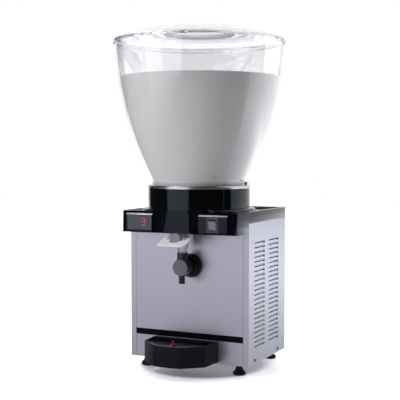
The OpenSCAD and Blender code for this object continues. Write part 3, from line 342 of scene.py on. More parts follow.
# The hood's front: a darker, less mirroring copy of the hood's finish, a painted shade.
hood_front_painted_shade = finish_material(
    "gloss black hood front painted shade", (0.001, 0.001, 0.002), 0.12, variation=0.2, spread=0.05,
    relief=0.06, grain=350.0, Specular_IOR_Level=0.04, Specular_Tint=COOL_PAINTED_REFLECTION)
pad_black = finish_material(
    "satin black pads", (0.006, 0.006, 0.011), 0.24, variation=0.15, spread=0.06, relief=0.1,
    grain=700.0, wear_and_highlight=0.35, wear_and_highlight_color=(0.12, 0.125, 0.15), Specular_IOR_Level=0.3,
    Specular_Tint=COOL_PAINTED_REFLECTION)
# The pads' sloped edges: a pale finish, a painted highlight for the light they catch.
pad_edge_painted_highlight = finish_material(
    "pad edge painted highlight", (0.46, 0.47, 0.53), 0.22, GRAIN, variation=0.06, spread=0.06, relief=0.05,
    stretch=(12, 900, 900))
paint(finish_material(
    "gloss black drum", (0.0015, 0.0015, 0.002), 0.09, variation=0.2, spread=0.04, relief=0.04,
    grain=300.0, Specular_Tint=COOL_PAINTED_REFLECTION), "drum")
# The pale edges of the cover and the tray are wear and a painted highlight.
paint(finish_material(
    "satin tap cover", (0.002, 0.002, 0.006), 0.34, variation=0.12, spread=0.08, relief=0.25,
    grain=1800.0, wear_and_highlight=0.7, wear_and_highlight_color=(0.16, 0.165, 0.20), Specular_IOR_Level=0.36,
    Specular_Tint=COOL_PAINTED_REFLECTION), "tap_cover")
paint(finish_material(
    "black frother moulding", (0.006, 0.007, 0.012), 0.27, variation=0.15, spread=0.08,
    relief=0.3, grain=1600.0), "frother_flange", "frother_housing")
paint(finish_material(
    "black tray moulding", (0.001, 0.0012, 0.002), 0.16, variation=0.2, spread=0.08, relief=0.2,
    grain=1500.0, wear_and_highlight=0.8, wear_and_highlight_color=(0.13, 0.135, 0.15), Specular_IOR_Level=0.25,
    Specular_Tint=COOL_PAINTED_REFLECTION), "drip_tray", "tray_grille")
strip_black = paint(finish_material(
    "black front strip", (0.003, 0.003, 0.004), 0.22, variation=0.1, spread=0.05, relief=0.1,
    Specular_IOR_Level=0.05), "front_strip")
print("materials in the file:", len(bpy.data.materials))

# %% [markdown]
# ### White, grey and red mouldings
# The lever is a white moulding that light enters a little way, so it gets some subsurface
# scattering; its white is also brighter and cooler than the other white pieces, a painted light
# against the hood's shadow on it. The pieces that the drink touches are plain white, the caps
# are grey, and the float is red, so that a full tray is seen.

# %% White, grey and red mouldings
# A brighter, cooler white: painted light against the hood's shadow.
paint(finish_material(
    "white lever moulding", (0.94, 0.95, 1.0), 0.28, variation=0.05, spread=0.08, relief=0.1,
    Subsurface_Weight=0.1, Subsurface_Radius=(0.004, 0.004, 0.004)), "tap_lever")
paint(finish_material(
    "white food-safe plastic", (0.82, 0.83, 0.84), 0.38, variation=0.05, spread=0.1, relief=0.15),
    "tap_body", "stirrer", "frother_impeller")
paint(finish_material(
    "grey frother cap", (0.125, 0.13, 0.17), 0.42, variation=0.08, spread=0.08, relief=0.3,
    grain=1800.0), "frother_cap")
paint(finish_material(
    "grey tap cap", (0.26, 0.26, 0.30), 0.45, variation=0.08, spread=0.08, relief=0.3,
    grain=1800.0), "tap_cap")
paint(finish_material("dark spool", (0.08, 0.08, 0.09), 0.4), "tap_spool", "tray_bracket")
paint(finish_material(
    "red float", (0.62, 0.02, 0.025), 0.3, variation=0.1, spread=0.1, relief=0.1), "tray_float")
print("materials in the file:", len(bpy.data.materials))

# %% [markdown]
# ### Controls
# The switch's frame has bright edges that are wear and a painted highlight, the rocker and the
# keys are plain grey, and the display is a smoked window. All are small, so a fine grain is
# enough for them.

# %% Controls
paint(finish_material(
    "black control frame", (0.045, 0.046, 0.058), 0.28, wear_and_highlight=0.9, wear_and_highlight_color=(0.42, 0.43, 0.48),
    Specular_IOR_Level=0.35), "switch_frame")
paint(finish_material(
    "grey rocker", (0.20, 0.20, 0.23), 0.35, relief=0.3, grain=1600.0), "switch_rocker")
paint(finish_material(
    "grey keys", (0.14, 0.145, 0.17), 0.4, relief=0.3, grain=1600.0),
    "key_set", "key_up", "key_down", "key_light")
paint(finish_material(
    "smoked display", (0.050, 0.054, 0.082), 0.22, variation=0.06, spread=0.05, relief=0.08),
    "thermostat")
print("materials in the file:", len(bpy.data.materials))

# %% [markdown]
# ### The lit figure
# The figure on the display gives its own light, a soft red, so it stays readable on the smoked
# window. Emission in its finish does that without a lamp, and keeps it at a plain level. A
# slight unevenness keeps its bars from looking printed.

# %% Lit figure
led_red = paint(finish_material(
    "lit red figure", (0.40, 0.04, 0.06), 0.4, Emission_Strength=0.26,
    Emission_Color=(1.0, 0.12, 0.15, 1)), "display_digit")
print("lit:", led_red.name)

# %% [markdown]
# ### Enamel, rubber and foam
# These pieces stand inside, behind or under the cabinet, where little light falls. Plain skins
# with a coarser relief are enough, and the feet mirror hardly anything.

# %% Enamel, rubber and foam
paint(finish_material(
    "black enamel", (0.02, 0.02, 0.02), 0.32, variation=0.2, spread=0.15, relief=0.5,
    grain=400.0), "compressor")
paint(finish_material("black fan plastic", (0.03, 0.03, 0.033), 0.5), "fan_shroud")
paint(finish_material("pale fan plastic", (0.6, 0.6, 0.6), 0.5), "fan_blades")
paint(finish_material(
    "black rubber", (0.006, 0.006, 0.007), 0.5, variation=0.2, spread=0.1, relief=0.5,
    grain=700.0, Specular_IOR_Level=0.2), "compressor_grommets", "foot_front_left",
    "foot_front_right", "foot_rear_left", "foot_rear_right")
paint(finish_material("silicone seal", (0.20, 0.20, 0.22), 0.5), "bowl_seal")
paint(finish_material(
    "insulating foam", (0.78, 0.70, 0.48), 0.8, variation=0.25, relief=0.9, grain=260.0),
    "drum_foam")
paint(finish_material("inlet black", (0.02, 0.02, 0.02), 0.45), "power_inlet")
print("materials in the file:", len(bpy.data.materials))

# %% [markdown]
# ### Clear plastic
# The bowl and the lid are clear polycarbonate, and the outlet tube is milky. Light that reaches
# the drink through the wall would otherwise be lost as noise, so for shadow rays the plastic
# lets most of it through. A clear coat carries the bright reflections on a thin wall.

# %% Clear plastic
COAT_ROUGH, COAT_IOR = 0.04, 1.7
CLEAR_SPREAD, CLEAR_GRAIN, CLEAR_RELIEF = 0.02, 60.0, 0.006


def clear_material(name, tint, rough, shadow, ior, coat):
    """A clear finish; shadow is the share of the light that falls straight through it."""
    made = bpy.data.materials.new(name)
    made.use_nodes = True
    tree = made.node_tree
    shader = tree.nodes["Principled BSDF"]
    for key, value in {"Base Color": (*tint, 1), "Transmission Weight": 1.0, "IOR": ior,
                       "Coat Weight": coat, "Coat Roughness": COAT_ROUGH,
                       "Coat IOR": COAT_IOR}.items():
        shader.inputs[key].default_value = value
    skin = place_group(tree, SKIN, Roughness=rough, Spread=CLEAR_SPREAD, Grain=CLEAR_GRAIN)
    bump = add(tree, "Bump", Height=skin.outputs["Height"], Strength=CLEAR_RELIEF,
               Distance=RELIEF_HEIGHT)
    shaded = add(tree, "LightPath").outputs["Is Shadow Ray"]
    alpha = math_node(tree, "MULTIPLY_ADD", shaded, -shadow, 1.0)
    tree.links.new(skin.outputs["Roughness"], shader.inputs["Roughness"])
    tree.links.new(bump.outputs[0], shader.inputs["Normal"])
    tree.links.new(alpha, shader.inputs["Alpha"])
    return made


bowl_clear = paint(clear_material(
    "clear bowl", (0.965, 0.965, 0.985), 0.02, shadow=0.9, ior=1.2, coat=1.0), "bowl")
lid_clear = paint(clear_material(
    "clear lid", (0.955, 0.955, 0.972), 0.03, shadow=0.9, ior=1.36, coat=1.0), "lid")
paint(clear_material(
    "milky clear tube", (0.90, 0.91, 0.95), 0.45, shadow=0.6, ior=1.25, coat=0.6), "outlet_tube")
print("clear:", bowl_clear.name, "and", lid_clear.name)

# %% [markdown]
# ### The drink's finish
# A chilled milk drink is opaque, slightly warm white, and soft in its shading, because light
# scatters a little way inside it. Subsurface scattering gives that softness directly.

# %% Drink finish
milk = paint(finish_material(
    "white milk drink", (0.77, 0.76, 0.765), 0.35, variation=0.04, spread=0.05, relief=0.05,
    grain=120.0, Subsurface_Weight=0.3, Subsurface_Radius=(0.006, 0.005, 0.004)), "drink")
print("materials in the file:", len(bpy.data.materials))

# %% [markdown]
# ## Pieces remade as finer meshes
# Some solids are remade here with closer outlines: the turned ones as lathes with many sides,
# and the hood with its own rounded edges. Each rides on its body and replaces its solid, and
# takes its sizes from the solid's box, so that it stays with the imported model.

# %% Helpers for own pieces
def place_piece(name, mesh, material, body, *replaced):
    mesh.materials.clear()
    mesh.materials.append(material)
    piece = bpy.data.objects.new(name, mesh)
    bpy.context.scene.collection.objects.link(piece)
    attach(piece, body)
    if replaced:
        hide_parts(*replaced)
    return piece


def size_of(node):
    """Lowest and highest corner of a CAD node, in mm."""
    low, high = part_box(node)
    return [v / MM for v in low], [v / MM for v in high]


print("ready: place_piece, size_of")

# %% [markdown]
# ### Turned pieces
# The bowl, the drink and the lid are round, so each is one outline turned about the bowl's
# axis. A screw modifier could turn it too, but a short helper closes the outline and joins its
# points on the axis, and so leaves a clean closed mesh.

# %% Helpers for turned pieces
LATHE_SIDES, ON_AXIS = 160, 0.001


def lathe(name, profile):
    """A closed mesh turned round the bowl's axis from (radius, height) points in mm."""
    mesh = bpy.data.meshes.new(name)
    made = bmesh.new()
    rings = []
    for radius, height in profile:
        count = LATHE_SIDES if radius > ON_AXIS else 1
        turns = [2 * math.pi * i / LATHE_SIDES for i in range(count)]
        rings.append([made.verts.new((radius * MM * math.cos(t), radius * MM * math.sin(t),
                                      height * MM)) for t in turns])
    for low, high in zip(rings, rings[1:] + rings[:1]):
        for i in range(LATHE_SIDES):
            j = (i + 1) % LATHE_SIDES
            corners = [low[i % len(low)], low[j % len(low)],
                       high[j % len(high)], high[i % len(high)]]
            corners = list(dict.fromkeys(corners))
            if len(corners) > 2:
                made.faces.new(corners)
    bmesh.ops.recalc_face_normals(made, faces=made.faces)
    made.to_mesh(mesh)
    made.free()
    mesh.shade_smooth()
    return mesh


def arc(cx, cz, radius, start, end, steps=6):
    """Points of an arc in a profile, from one angle to another in degrees."""
    turns = [math.radians(start + (end - start) * i / steps) for i in range(steps + 1)]
    return [(cx + radius * math.cos(t), cz + radius * math.sin(t)) for t in turns]


print("ready: lathe, arc")

# %% [markdown]
# ### The bowl
# The bowl's side follows one large arc from its collar to its rim. The rim ends in a rounded
# bead, and a thin bead over the ring marks the collar. The arc's middle is worked out from its
# radius and its two ends, so that the side meets both.

# %% Bowl
bowl_low, bowl_high = size_of("bowl")
ring_top = size_of("neck_ring")[1][2]
wall, side_arc, side_steps = 3.2, 768.0, 40
collar_r, collar_top, collar_bead = 109.0, ring_top + 9, 1.4
rim_r, rim_z, rim_bead = bowl_high[0] - 1.5, bowl_high[2], 1.9
chord = math.hypot(rim_r - collar_r, rim_z - collar_top)
back_off = math.sqrt(side_arc ** 2 - chord ** 2 / 4)
arc_x = (collar_r + rim_r) / 2 - back_off * (rim_z - collar_top) / chord
arc_z = (collar_top + rim_z) / 2 + back_off * (rim_r - collar_r) / chord


def side_line(low, high, inset):
    """The bowl's side between two heights, moved in by an inset."""
    heights = [low + (high - low) * i / side_steps for i in range(side_steps + 1)]
    return [(arc_x + math.sqrt(side_arc ** 2 - (arc_z - z) ** 2) - inset, z) for z in heights]


outside = [(collar_r - wall, bowl_low[2]), (collar_r, bowl_low[2]), (collar_r, ring_top + 2)]
outside += arc(collar_r - 0.3, ring_top + 4.5, collar_bead, -75, 75)
outside += side_line(collar_top, rim_z - 2 * rim_bead - 1, 0)
rim = arc(bowl_high[0] - rim_bead, rim_z - rim_bead, rim_bead, -90, 90, 10)
rim += arc(rim_r - wall + 0.8, rim_z - 0.8, 0.8, 90, 180, 3)
inside = side_line(collar_top, rim_z - 3, wall)[::-1]
bowl_shell = place_piece("bowl_shell", lathe("bowl shell", outside + rim + inside), bowl_clear,
                         "bowl", "bowl")
print("bowl:", len(bowl_shell.data.vertices), "points; rim at", round(rim_z), "mm")

# %% [markdown]
# ### Cut and rounded pieces
# The other pieces start as an outline raised to a height. Their edges are rounded with a bevel
# in the mesh, and openings are cut with a boolean, which is applied at once so that the piece's
# mesh is the final one. The boolean works in several threads and may list its faces in another
# order each time, so they are sorted afterwards.

# %% Helpers for cut and rounded pieces
SHARP_ANGLE = 30


def prism(name, outline, low, high, turn=None):
    """An outline of (x, y) points in mm raised from low to high, then turned by a matrix."""
    mesh = bpy.data.meshes.new(name)
    made = bmesh.new()
    rows = [[made.verts.new((x * MM, y * MM, z * MM)) for x, y in outline] for z in (low, high)]
    made.faces.new(rows[0][::-1])
    made.faces.new(rows[1])
    for i in range(len(outline)):
        j = (i + 1) % len(outline)
        made.faces.new([rows[0][i], rows[0][j], rows[1][j], rows[1][i]])
    if turn:
        bmesh.ops.transform(made, matrix=turn, verts=made.verts)
    bmesh.ops.recalc_face_normals(made, faces=made.faces)
    made.to_mesh(mesh)
    made.free()
    return mesh


def block(name, low, high):
    outline = [(low[0], low[1]), (high[0], low[1]), (high[0], high[1]), (low[0], high[1])]
    return prism(name, outline, low[2], high[2])


def circle(cx, cy, radius, sides):
    turns = [2 * math.pi * i / sides for i in range(sides)]
    return [(cx + radius * math.cos(t), cy + radius * math.sin(t)) for t in turns]


def rounded(mesh, width, segments=3):
    """Rounds the sharp edges of a mesh in place."""
    made = bmesh.new()
    made.from_mesh(mesh)
    limit = math.radians(SHARP_ANGLE)
    sharp = [e for e in made.edges if e.is_manifold and e.calc_face_angle() > limit]
    bmesh.ops.bevel(made, geom=sharp, offset=width * MM, segments=segments, profile=0.5,
                    affect="EDGES", clamp_overlap=True)
    made.to_mesh(mesh)
    made.free()
    mesh.shade_smooth()
    return mesh


def in_order(mesh):
    """Sorts a mesh's points, edges and faces by place, so that every run lists them alike."""
    made = bmesh.new()
    made.from_mesh(mesh)
    for parts, spot in ((made.verts, lambda v: v.co),
                        (made.edges, lambda e: e.verts[0].co + e.verts[1].co),
                        (made.faces, lambda f: f.calc_center_median())):
        by_place = sorted(parts, key=lambda part: tuple(spot(part)))
        rank = {part: number for number, part in enumerate(by_place)}
        parts.sort(key=rank.get)
    made.to_mesh(mesh)
    made.free()
    return mesh


def carve(mesh, *cutters):
    """The mesh with each cutter's solid taken out of it."""
    scene = bpy.context.scene.collection
    body = bpy.data.objects.new("carved", mesh)
    tools = [bpy.data.objects.new("cutter", cutter) for cutter in cutters]
    for piece in [body] + tools:
        scene.objects.link(piece)
    for tool in tools:
        step = body.modifiers.new("cut", "BOOLEAN")
        step.solver = "MANIFOLD"
        step.object = tool
    graph = bpy.context.evaluated_depsgraph_get()
    made = bpy.data.meshes.new_from_object(body.evaluated_get(graph))
    for piece in tools + [body]:
        bpy.data.objects.remove(piece)
    return in_order(made)


def crease(piece, limit=35):
    """Smooth shading with crisp edges past the limit, without changing the mesh."""
    split = piece.modifiers.new("crisp edges", "EDGE_SPLIT")
    split.split_angle = math.radians(limit)
    split.use_edge_sharp = False
    return piece


print("ready: prism, block, circle, rounded, in_order, carve, crease")

# %% [markdown]
# ### The catch lug
# A lug on the collar drops over a pin on the drum, so that the bowl can't turn. The lug is a
# rounded block with a hole and lifts with the bowl; the pin stays on the cabinet.

# %% Catch lug
catch_turn = Matrix.Rotation(math.radians(6), 4, "Z")
catch_r, lug_half, lug_out, hole_r, pin_r, catch_sides = 113.0, 11, 5, 2.5, 2.3, 32
lug = rounded(block("lug", (collar_r - wall / 2, -lug_half, ring_top + 0.3),
                    (catch_r + lug_out, lug_half, collar_top - 1)), 1.2)
pin_hole = circle(catch_r, 0, hole_r, catch_sides)
lug = carve(lug, prism("pin hole", pin_hole, ring_top - 1, collar_top + 1))
lug.transform(catch_turn)
crease(place_piece("bowl_lug", lug, bowl_clear, "bowl"))
pin = rounded(prism("pin", circle(catch_r, 0, pin_r, catch_sides), ring_top, collar_top - 2), 0.5)
pin.transform(catch_turn)
crease(place_piece("catch_pin", pin, strip_black, "cabinet"))
print("lug:", len(lug.vertices), "points; pin:", len(pin.vertices), "points")

# %% [markdown]
# ### The drink
# The drink wets the wall, so it fills the bowl to just inside the outer face, and its surface
# climbs a little where it meets the wall. It leaves room for the cooling dome and the stirrer.
# Its outline is the bowl's own side line moved in, so the two follow each other all the way up.

# %% Drink
drink_low, drink_high = size_of("drink")
stirrer_high = size_of("stirrer")[1]
well_r, well_top = stirrer_high[0] + 0.6, stirrer_high[2] + 2
level, wet, climb = drink_high[2], 0.8, 1
fill = [(0, well_top), (well_r, well_top), (well_r, drink_low[2]), (collar_r - wet, drink_low[2])]
fill += side_line(collar_top, level - climb, wet)
edge_r = fill[-1][0]
fill += [(edge_r + 0.1, level), (edge_r - 1.4, level - 0.4), (edge_r - 4, level - climb),
         (0, level - climb)]
place_piece("milk_fill", lathe("milk fill", fill), milk, "bowl", "drink")
print("drink surface at", round(level), "mm")

# %% [markdown]
# ### The lid
# The lid's flange drops over the rim. Its top rises in a cone to a raised ring round a shallow
# dish. The profile goes over the top from the flange's lip to the middle, and back underneath.

# %% Lid
lid_low, lid_high = size_of("lid")
lid_r, lid_t = lid_high[0], 2.5
lip_low, lip_top, lid_top = lid_low[2], rim_z + lid_t, lid_high[2]
top_r, dish_r, dish = 140.0, 88.0, 3.0
rim_space = bowl_high[0] + 0.3
over = [(lid_r - lid_t + 0.8, lip_low)] + arc(lid_r - 0.6, lip_low + 0.6, 0.6, -90, 0, 3)
over += arc(lid_r - 1.5, lip_top - 1.5, 1.5, 0, 60, 4) + arc(lid_r - 5, lip_top + 1, 1.5, 60, 75, 2)
over += [(top_r + 8, lid_top - 3)] + arc(top_r - 1, lid_top - 4, 4, 65, 90, 4)
over += arc(dish_r + 4, lid_top - 1, 1, 90, 130, 3)
over += arc(dish_r, lid_top - dish + 1, 1, -50, -90, 3)
under = [(0, lid_top - dish), (0, lid_top - dish - lid_t), (dish_r + 1, lid_top - dish - lid_t)]
under += [(dish_r + 5, lid_top - lid_t), (top_r - 1, lid_top - lid_t)]
under += [(top_r + 5, lid_top - lid_t - 3), (rim_r - 3, lip_top - 0.5), (rim_r - 8, rim_z + 0.3)]
under += [(rim_space, rim_z + 0.3), (rim_space, lip_low)]
place_piece("lid_shell", lathe("lid shell", over + under), lid_clear, "lid", "lid")
print("lid top at", round(lid_top), "mm")

# %% [markdown]
# ### The hood
# The hood is a band over the cabinet whose front part hangs down and draws in towards the
# front. Its top is a raised rim round a sunk deck, and the drum stands through it. The outline
# of its side is widened into a solid, the deck is pushed down, and the drum's hole is cut last.

# %% Hood shell
hood_low, hood_high = size_of("top_hood")
panel_front = size_of("front_panel")[0][1]
side_bottom, side_top = (corner[2] for corner in size_of("right_panel"))
drum_r, drum_gap, pad_out = 118.0, 0.3, 3.5
hood_front = hood_low[1] + pad_out
draw_in, lean, rim_w, deck, deck_slope, corner_r = 8.0, 3.0, 9.0, 6.0, 0.7, 6.0


def hood_mesh():
    mesh = bpy.data.meshes.new("hood shell")
    made = bmesh.new()
    slope = (hood_high[2] - hood_low[2]) * math.tan(math.radians(lean))
    side = [(hood_high[1], side_top), (hood_high[1], hood_high[2]), (panel_front, hood_high[2]),
            (hood_front + slope, hood_high[2]), (hood_front, hood_low[2]),
            (panel_front, hood_low[2]), (panel_front, side_top)]
    rows = []
    for face in (-1, 1):
        row = []
        for y, z in side:
            forward = max(0, (panel_front - y) / (panel_front - hood_front))
            half = hood_high[0] - draw_in * forward
            row.append(made.verts.new((face * half * MM, y * MM, z * MM)))
        rows.append(row)
        made.faces.new([row[k] for k in (0, 1, 2, 6)])
        made.faces.new([row[k] for k in (2, 3, 4, 5, 6)])
    for i in range(len(side)):
        j = (i + 1) % len(side)
        made.faces.new([rows[0][i], rows[0][j], rows[1][j], rows[1][i]])
    bmesh.ops.recalc_face_normals(made, faces=made.faces)
    seam = made.edges.get((rows[0][2], rows[1][2]))
    bmesh.ops.dissolve_edges(made, edges=[seam])
    upright = [made.edges.get((row[3], row[4])) for row in rows]
    bmesh.ops.bevel(made, geom=upright, offset=corner_r * MM, segments=6, profile=0.5,
                    affect="EDGES")
    sink_deck(made)
    made.to_mesh(mesh)
    made.free()
    return mesh


def sink_deck(made):
    """Leaves a rim round the top face and pushes the rest down, with sloped walls."""
    top = max(made.faces, key=lambda f: f.calc_center_median().z)
    bmesh.ops.inset_region(made, faces=[top], thickness=rim_w * MM)
    sunk = bmesh.ops.extrude_discrete_faces(made, faces=[top])["faces"]
    middle = (hood_front + hood_high[1]) / 2 * MM
    for point in sunk[0].verts:
        point.co.x -= math.copysign(deck * deck_slope * MM, point.co.x)
        point.co.y -= math.copysign(deck * deck_slope * MM, point.co.y - middle)
        point.co.z -= deck * MM


# %% [markdown]
# The drum's hole is cut from the rounded shell, so that its own edge stays crisp. The faces
# that look forward are found by their normals, and take the darker finish, a painted shade.

# %% Hood with the drum's hole
HOOD_SHADED_FRONT_NORMAL, HOOD_EDGE, HOOD_CREASE = -0.97, 1.6, 40
drum_space = prism("drum space", circle(0, 0, drum_r + drum_gap, 128), hood_low[2] - 5,
                   hood_high[2] + 5)
hood_shell = place_piece("hood_shell", carve(rounded(hood_mesh(), HOOD_EDGE), drum_space),
                         hood_black, "cabinet", "top_hood")
# The forward faces take the darker copy of the finish, a painted shade.
hood_shell.data.materials.append(hood_front_painted_shade)
for face in hood_shell.data.polygons:
    face.material_index = int(face.normal.y < HOOD_SHADED_FRONT_NORMAL)
crease(hood_shell, HOOD_CREASE)
print("hood:", len(hood_shell.data.vertices), "points")

# %% [markdown]
# ### The pads
# Two raised pads carry the display and the switch. Each has a sloped top edge with a painted
# highlight, a pale finish that stands in for the light it catches, and an opening that its module
# fills. The pad's side outline is raised across the hood's width, and the faces of the slope are
# found by their normals for the painted highlight.

# %% Pads
PAD_LOW, PAD_HIGH, PAD_SLOPE, PAD_DEPTH = 2.5, 43.5, 3.4, 12
HIGHLIGHT_SLOPE_NORMAL = 0.4


def pad(name, module, margin, width):
    """A pad of a width in mm whose opening leaves a margin round the module."""
    low, high = size_of(module)
    middle = (low[0] + high[0]) / 2
    pad_low, pad_high = hood_low[2] + PAD_LOW, hood_low[2] + PAD_HIGH
    front, back = hood_low[1], hood_front + PAD_DEPTH
    side = [(front, pad_low), (front, pad_high - PAD_SLOPE), (front + PAD_SLOPE, pad_high),
            (back, pad_high), (back, pad_low)]
    stand = Matrix(((0, 0, 1, (middle - width / 2) * MM), (1, 0, 0, 0), (0, 1, 0, 0),
                    (0, 0, 0, 1)))
    mesh = rounded(prism(name, side, 0, width, stand), 0.5, 2)
    hole = block("hole", (low[0] - margin, front - 2, low[2] - margin),
                 (high[0] + margin, back - 1, high[2] + margin))
    piece = place_piece(name, carve(mesh, hole), pad_black, "cabinet")
    # The sloped faces take the pale finish, a painted highlight.
    piece.data.materials.append(pad_edge_painted_highlight)
    for face in piece.data.polygons:
        sloped = face.normal.y < -HIGHLIGHT_SLOPE_NORMAL and face.normal.z > HIGHLIGHT_SLOPE_NORMAL
        face.material_index = int(sloped)
    print(crease(piece, HOOD_CREASE).name, "middle at", round(middle, 1), "mm")


pad("display_pad", "thermostat", 0.05, 67)
pad("switch_pad", "switch_frame", -2.2, 70)

# %% [markdown]
# ### Rear louvres
# Each slot of the rear panel has a blade behind it, bent in from the slot's top edge and
# sloping down, so that air passes but nobody sees straight through the cabinet. A blade is a
# thin bar whose points are made one by one, because sixteen of them in one mesh stay light.

# %% Rear louvres
VENT_ROWS, VENT_PITCH, VENT_TOP, SHEET = 16, 12.0, 56.0, 1.5
vent_left, vent_right = 19.0, 111.0
blade_in, blade_drop, blade_t = 6.0, 8.0, 0.8


def rear_louvres():
    mesh = bpy.data.meshes.new("rear louvres")
    made = bmesh.new()
    face = size_of("rear_panel")[1][1] - SHEET
    for row in range(VENT_ROWS):
        top = side_bottom + VENT_TOP + row * VENT_PITCH
        side = [(face, top), (face - blade_in, top - blade_drop),
                (face - blade_in - blade_t, top - blade_drop), (face - blade_t, top + blade_t)]
        rows = [[made.verts.new((x * MM, y * MM, z * MM)) for y, z in side]
                for x in (vent_left, vent_right)]
        made.faces.new(rows[0])
        made.faces.new(rows[1][::-1])
        for i in range(len(side)):
            j = (i + 1) % len(side)
            made.faces.new([rows[0][i], rows[1][i], rows[1][j], rows[0][j]])
    bmesh.ops.recalc_face_normals(made, faces=made.faces)
    made.to_mesh(mesh)
    made.free()
    return mesh


place_piece("vent_louvres", rear_louvres(), steel_side_painted_tone, "cabinet")
print("rear louvres:", VENT_ROWS)

# %% [markdown]
# ### Screw heads
# Each side panel is held at its foot by two pan-head screws with a cross recess. One head is a
# rounded disc with two crossed slots cut into it, which reads better than a bump at this size.
# Each is turned a little differently, as screws that were driven by hand are.

# %% Screw heads
screw_low, screw_high = size_of("panel_screws")
head_r, head_out, head_edge = 3.0, 1.6, 0.6
slot_long, slot_half, slot_floor, slot_top = 2, 0.35, 0.7, 3


def screw_head(side, y, z):
    head = rounded(prism("head", circle(0, 0, head_r, 40), 0, head_out), head_edge)
    cross = [block("cross", (-x, -y_half, slot_floor), (x, y_half, slot_top))
             for x, y_half in ((slot_long, slot_half), (slot_half, slot_long))]
    head = carve(head, *cross)
    head.transform(Matrix.Translation((side * hood_high[0] * MM, y * MM, z * MM))
                   @ Matrix.Rotation(math.radians(side * 90), 4, "Y")
                   @ Matrix.Rotation(math.radians(20 + y), 4, "Z"))
    return head


for side, label in ((-1, "left"), (1, "right")):
    for y, place in ((screw_low[1] + head_r, "front"), (screw_high[1] - head_r, "rear")):
        mesh = screw_head(side, y, screw_low[2] + head_r)
        piece = crease(place_piece(f"screw_{label}_{place}", mesh, screw_steel, "cabinet"))
        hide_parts("panel_screws")
        print("screw head:", label, place)

# %% [markdown]
# ## Rounded edges on the carried-over solids
# Real mouldings and folded sheets have no knife edges. The CAD nodes keep their own vertices,
# and modifiers on top of them weld the imported mesh, dissolve its flat triangles and round
# the corners, so the edges catch a thin highlight.

# %% Soften the CAD nodes
WELD_GAP, FLAT_ANGLE, CORNER_ANGLE = 0.01 * MM, 0.4, 38
ROUNDING = {
    "tap_cover": 1.4, "tap_cap": 1.0, "frother_cap": 0.7, "frother_flange": 0.8,
    "frother_housing": 0.6, "drip_tray": 0.9, "tray_grille": 0.4, "switch_frame": 0.6,
    "switch_rocker": 0.6, "thermostat": 0.4, "tray_float": 0.6, "tap_lever": 1.0,
    "left_panel": 0.35, "right_panel": 0.35, "front_panel": 0.35, "rear_panel": 0.3,
    "power_inlet": 0.6, "drum": 1.0, "compressor_grommets": 0.6, "stirrer": 0.8,
    "stirrer_motor": 1.0, "fan_motor": 1.0, "frother_motor": 1.0, "fan_shroud": 0.5,
    "key_set": 0.25, "key_up": 0.25, "key_down": 0.25, "key_light": 0.25, "tap_body": 0.5,
}


def soften(name, width):
    """Rounds a node's corners by a width in mm, with modifiers alone."""
    piece = nodes[name]
    mesh = piece.data
    if "custom_normal" in mesh.attributes:
        mesh.attributes.remove(mesh.attributes["custom_normal"])
    mesh.shade_smooth()
    weld = piece.modifiers.new("weld", "WELD")
    weld.merge_threshold = WELD_GAP
    flat = piece.modifiers.new("flat faces", "DECIMATE")
    flat.decimate_type = "DISSOLVE"
    flat.angle_limit = math.radians(FLAT_ANGLE)
    bevel = piece.modifiers.new("rounded edges", "BEVEL")
    bevel.width = width * MM
    bevel.segments = 2
    bevel.limit_method = "ANGLE"
    bevel.angle_limit = math.radians(CORNER_ANGLE)
    bevel.harden_normals = True


for name, width in ROUNDING.items():
    soften(name, width)
print("softened", len(ROUNDING), "nodes")

# %% [markdown]
# ## The studio
# The machine stands on a plain pale floor in a white room. Metal and gloss need something
# bright to mirror, and glass a bright ground behind it, but a room that is white all round
# would turn the black mouldings grey. So the camera sees white everywhere, and mirrored and
# refracted rays see it only behind the machine. The floor and the world share two helpers.

# %% Helpers for the floor and the world
REAR_RIGHT, REAR_LEFT = 0.19, 0.6
REAR_GLOW = 0.92


def rear_side(tree, x, y, sharp):
    """One where a direction or place lies behind the machine, past these slopes each side."""
    right = math_node(tree, "MULTIPLY", x, REAR_RIGHT)
    left = math_node(tree, "MULTIPLY", x, -REAR_LEFT)
    past = math_node(tree, "SUBTRACT", y, math_node(tree, "MAXIMUM", right, left))
    return math_node(tree, "MULTIPLY", past, sharp, clamp=True)


def ramp_node(tree, value, low, high, bottom, top):
    """A smooth rise from bottom to top while the value goes from low to high."""
    ramp = add(tree, "MapRange", {"interpolation_type": "SMOOTHSTEP"}, Value=value)
    for key, number in zip(("From Min", "From Max", "To Min", "To Max"), (low, high, bottom, top)):
        ramp.inputs[key].default_value = number
    return ramp.outputs["Result"]


print("ready: rear_side, ramp_node")

# %% [markdown]
# ### The floor
# The floor is a large pale sheet. To the camera it glows white, apart from a soft round painted
# shade under the machine, where the glow fades out and the floor's own shadow shows in it; the
# glow's faint lavender tints that shade. For gloss and glass it glows behind the machine alone,
# and less where it is near, a painted shade for the floor in the machine's shadow.

# %% Floor
FLOOR_HALF, SHADE_MIDDLE = 6.0, (0, 0.03, 0)
SHADE_EDGE = (0.132, 0.163, 0.06, 0.58)
SHADE_FADE = (0.165, 0.25, 0.0, 0.5)
MIRROR_PAINTED_SHADE = (0.3, 2.0, 0.35, 1.0)
MIRROR_START, MIRROR_SHARP = 0.1, 40.0


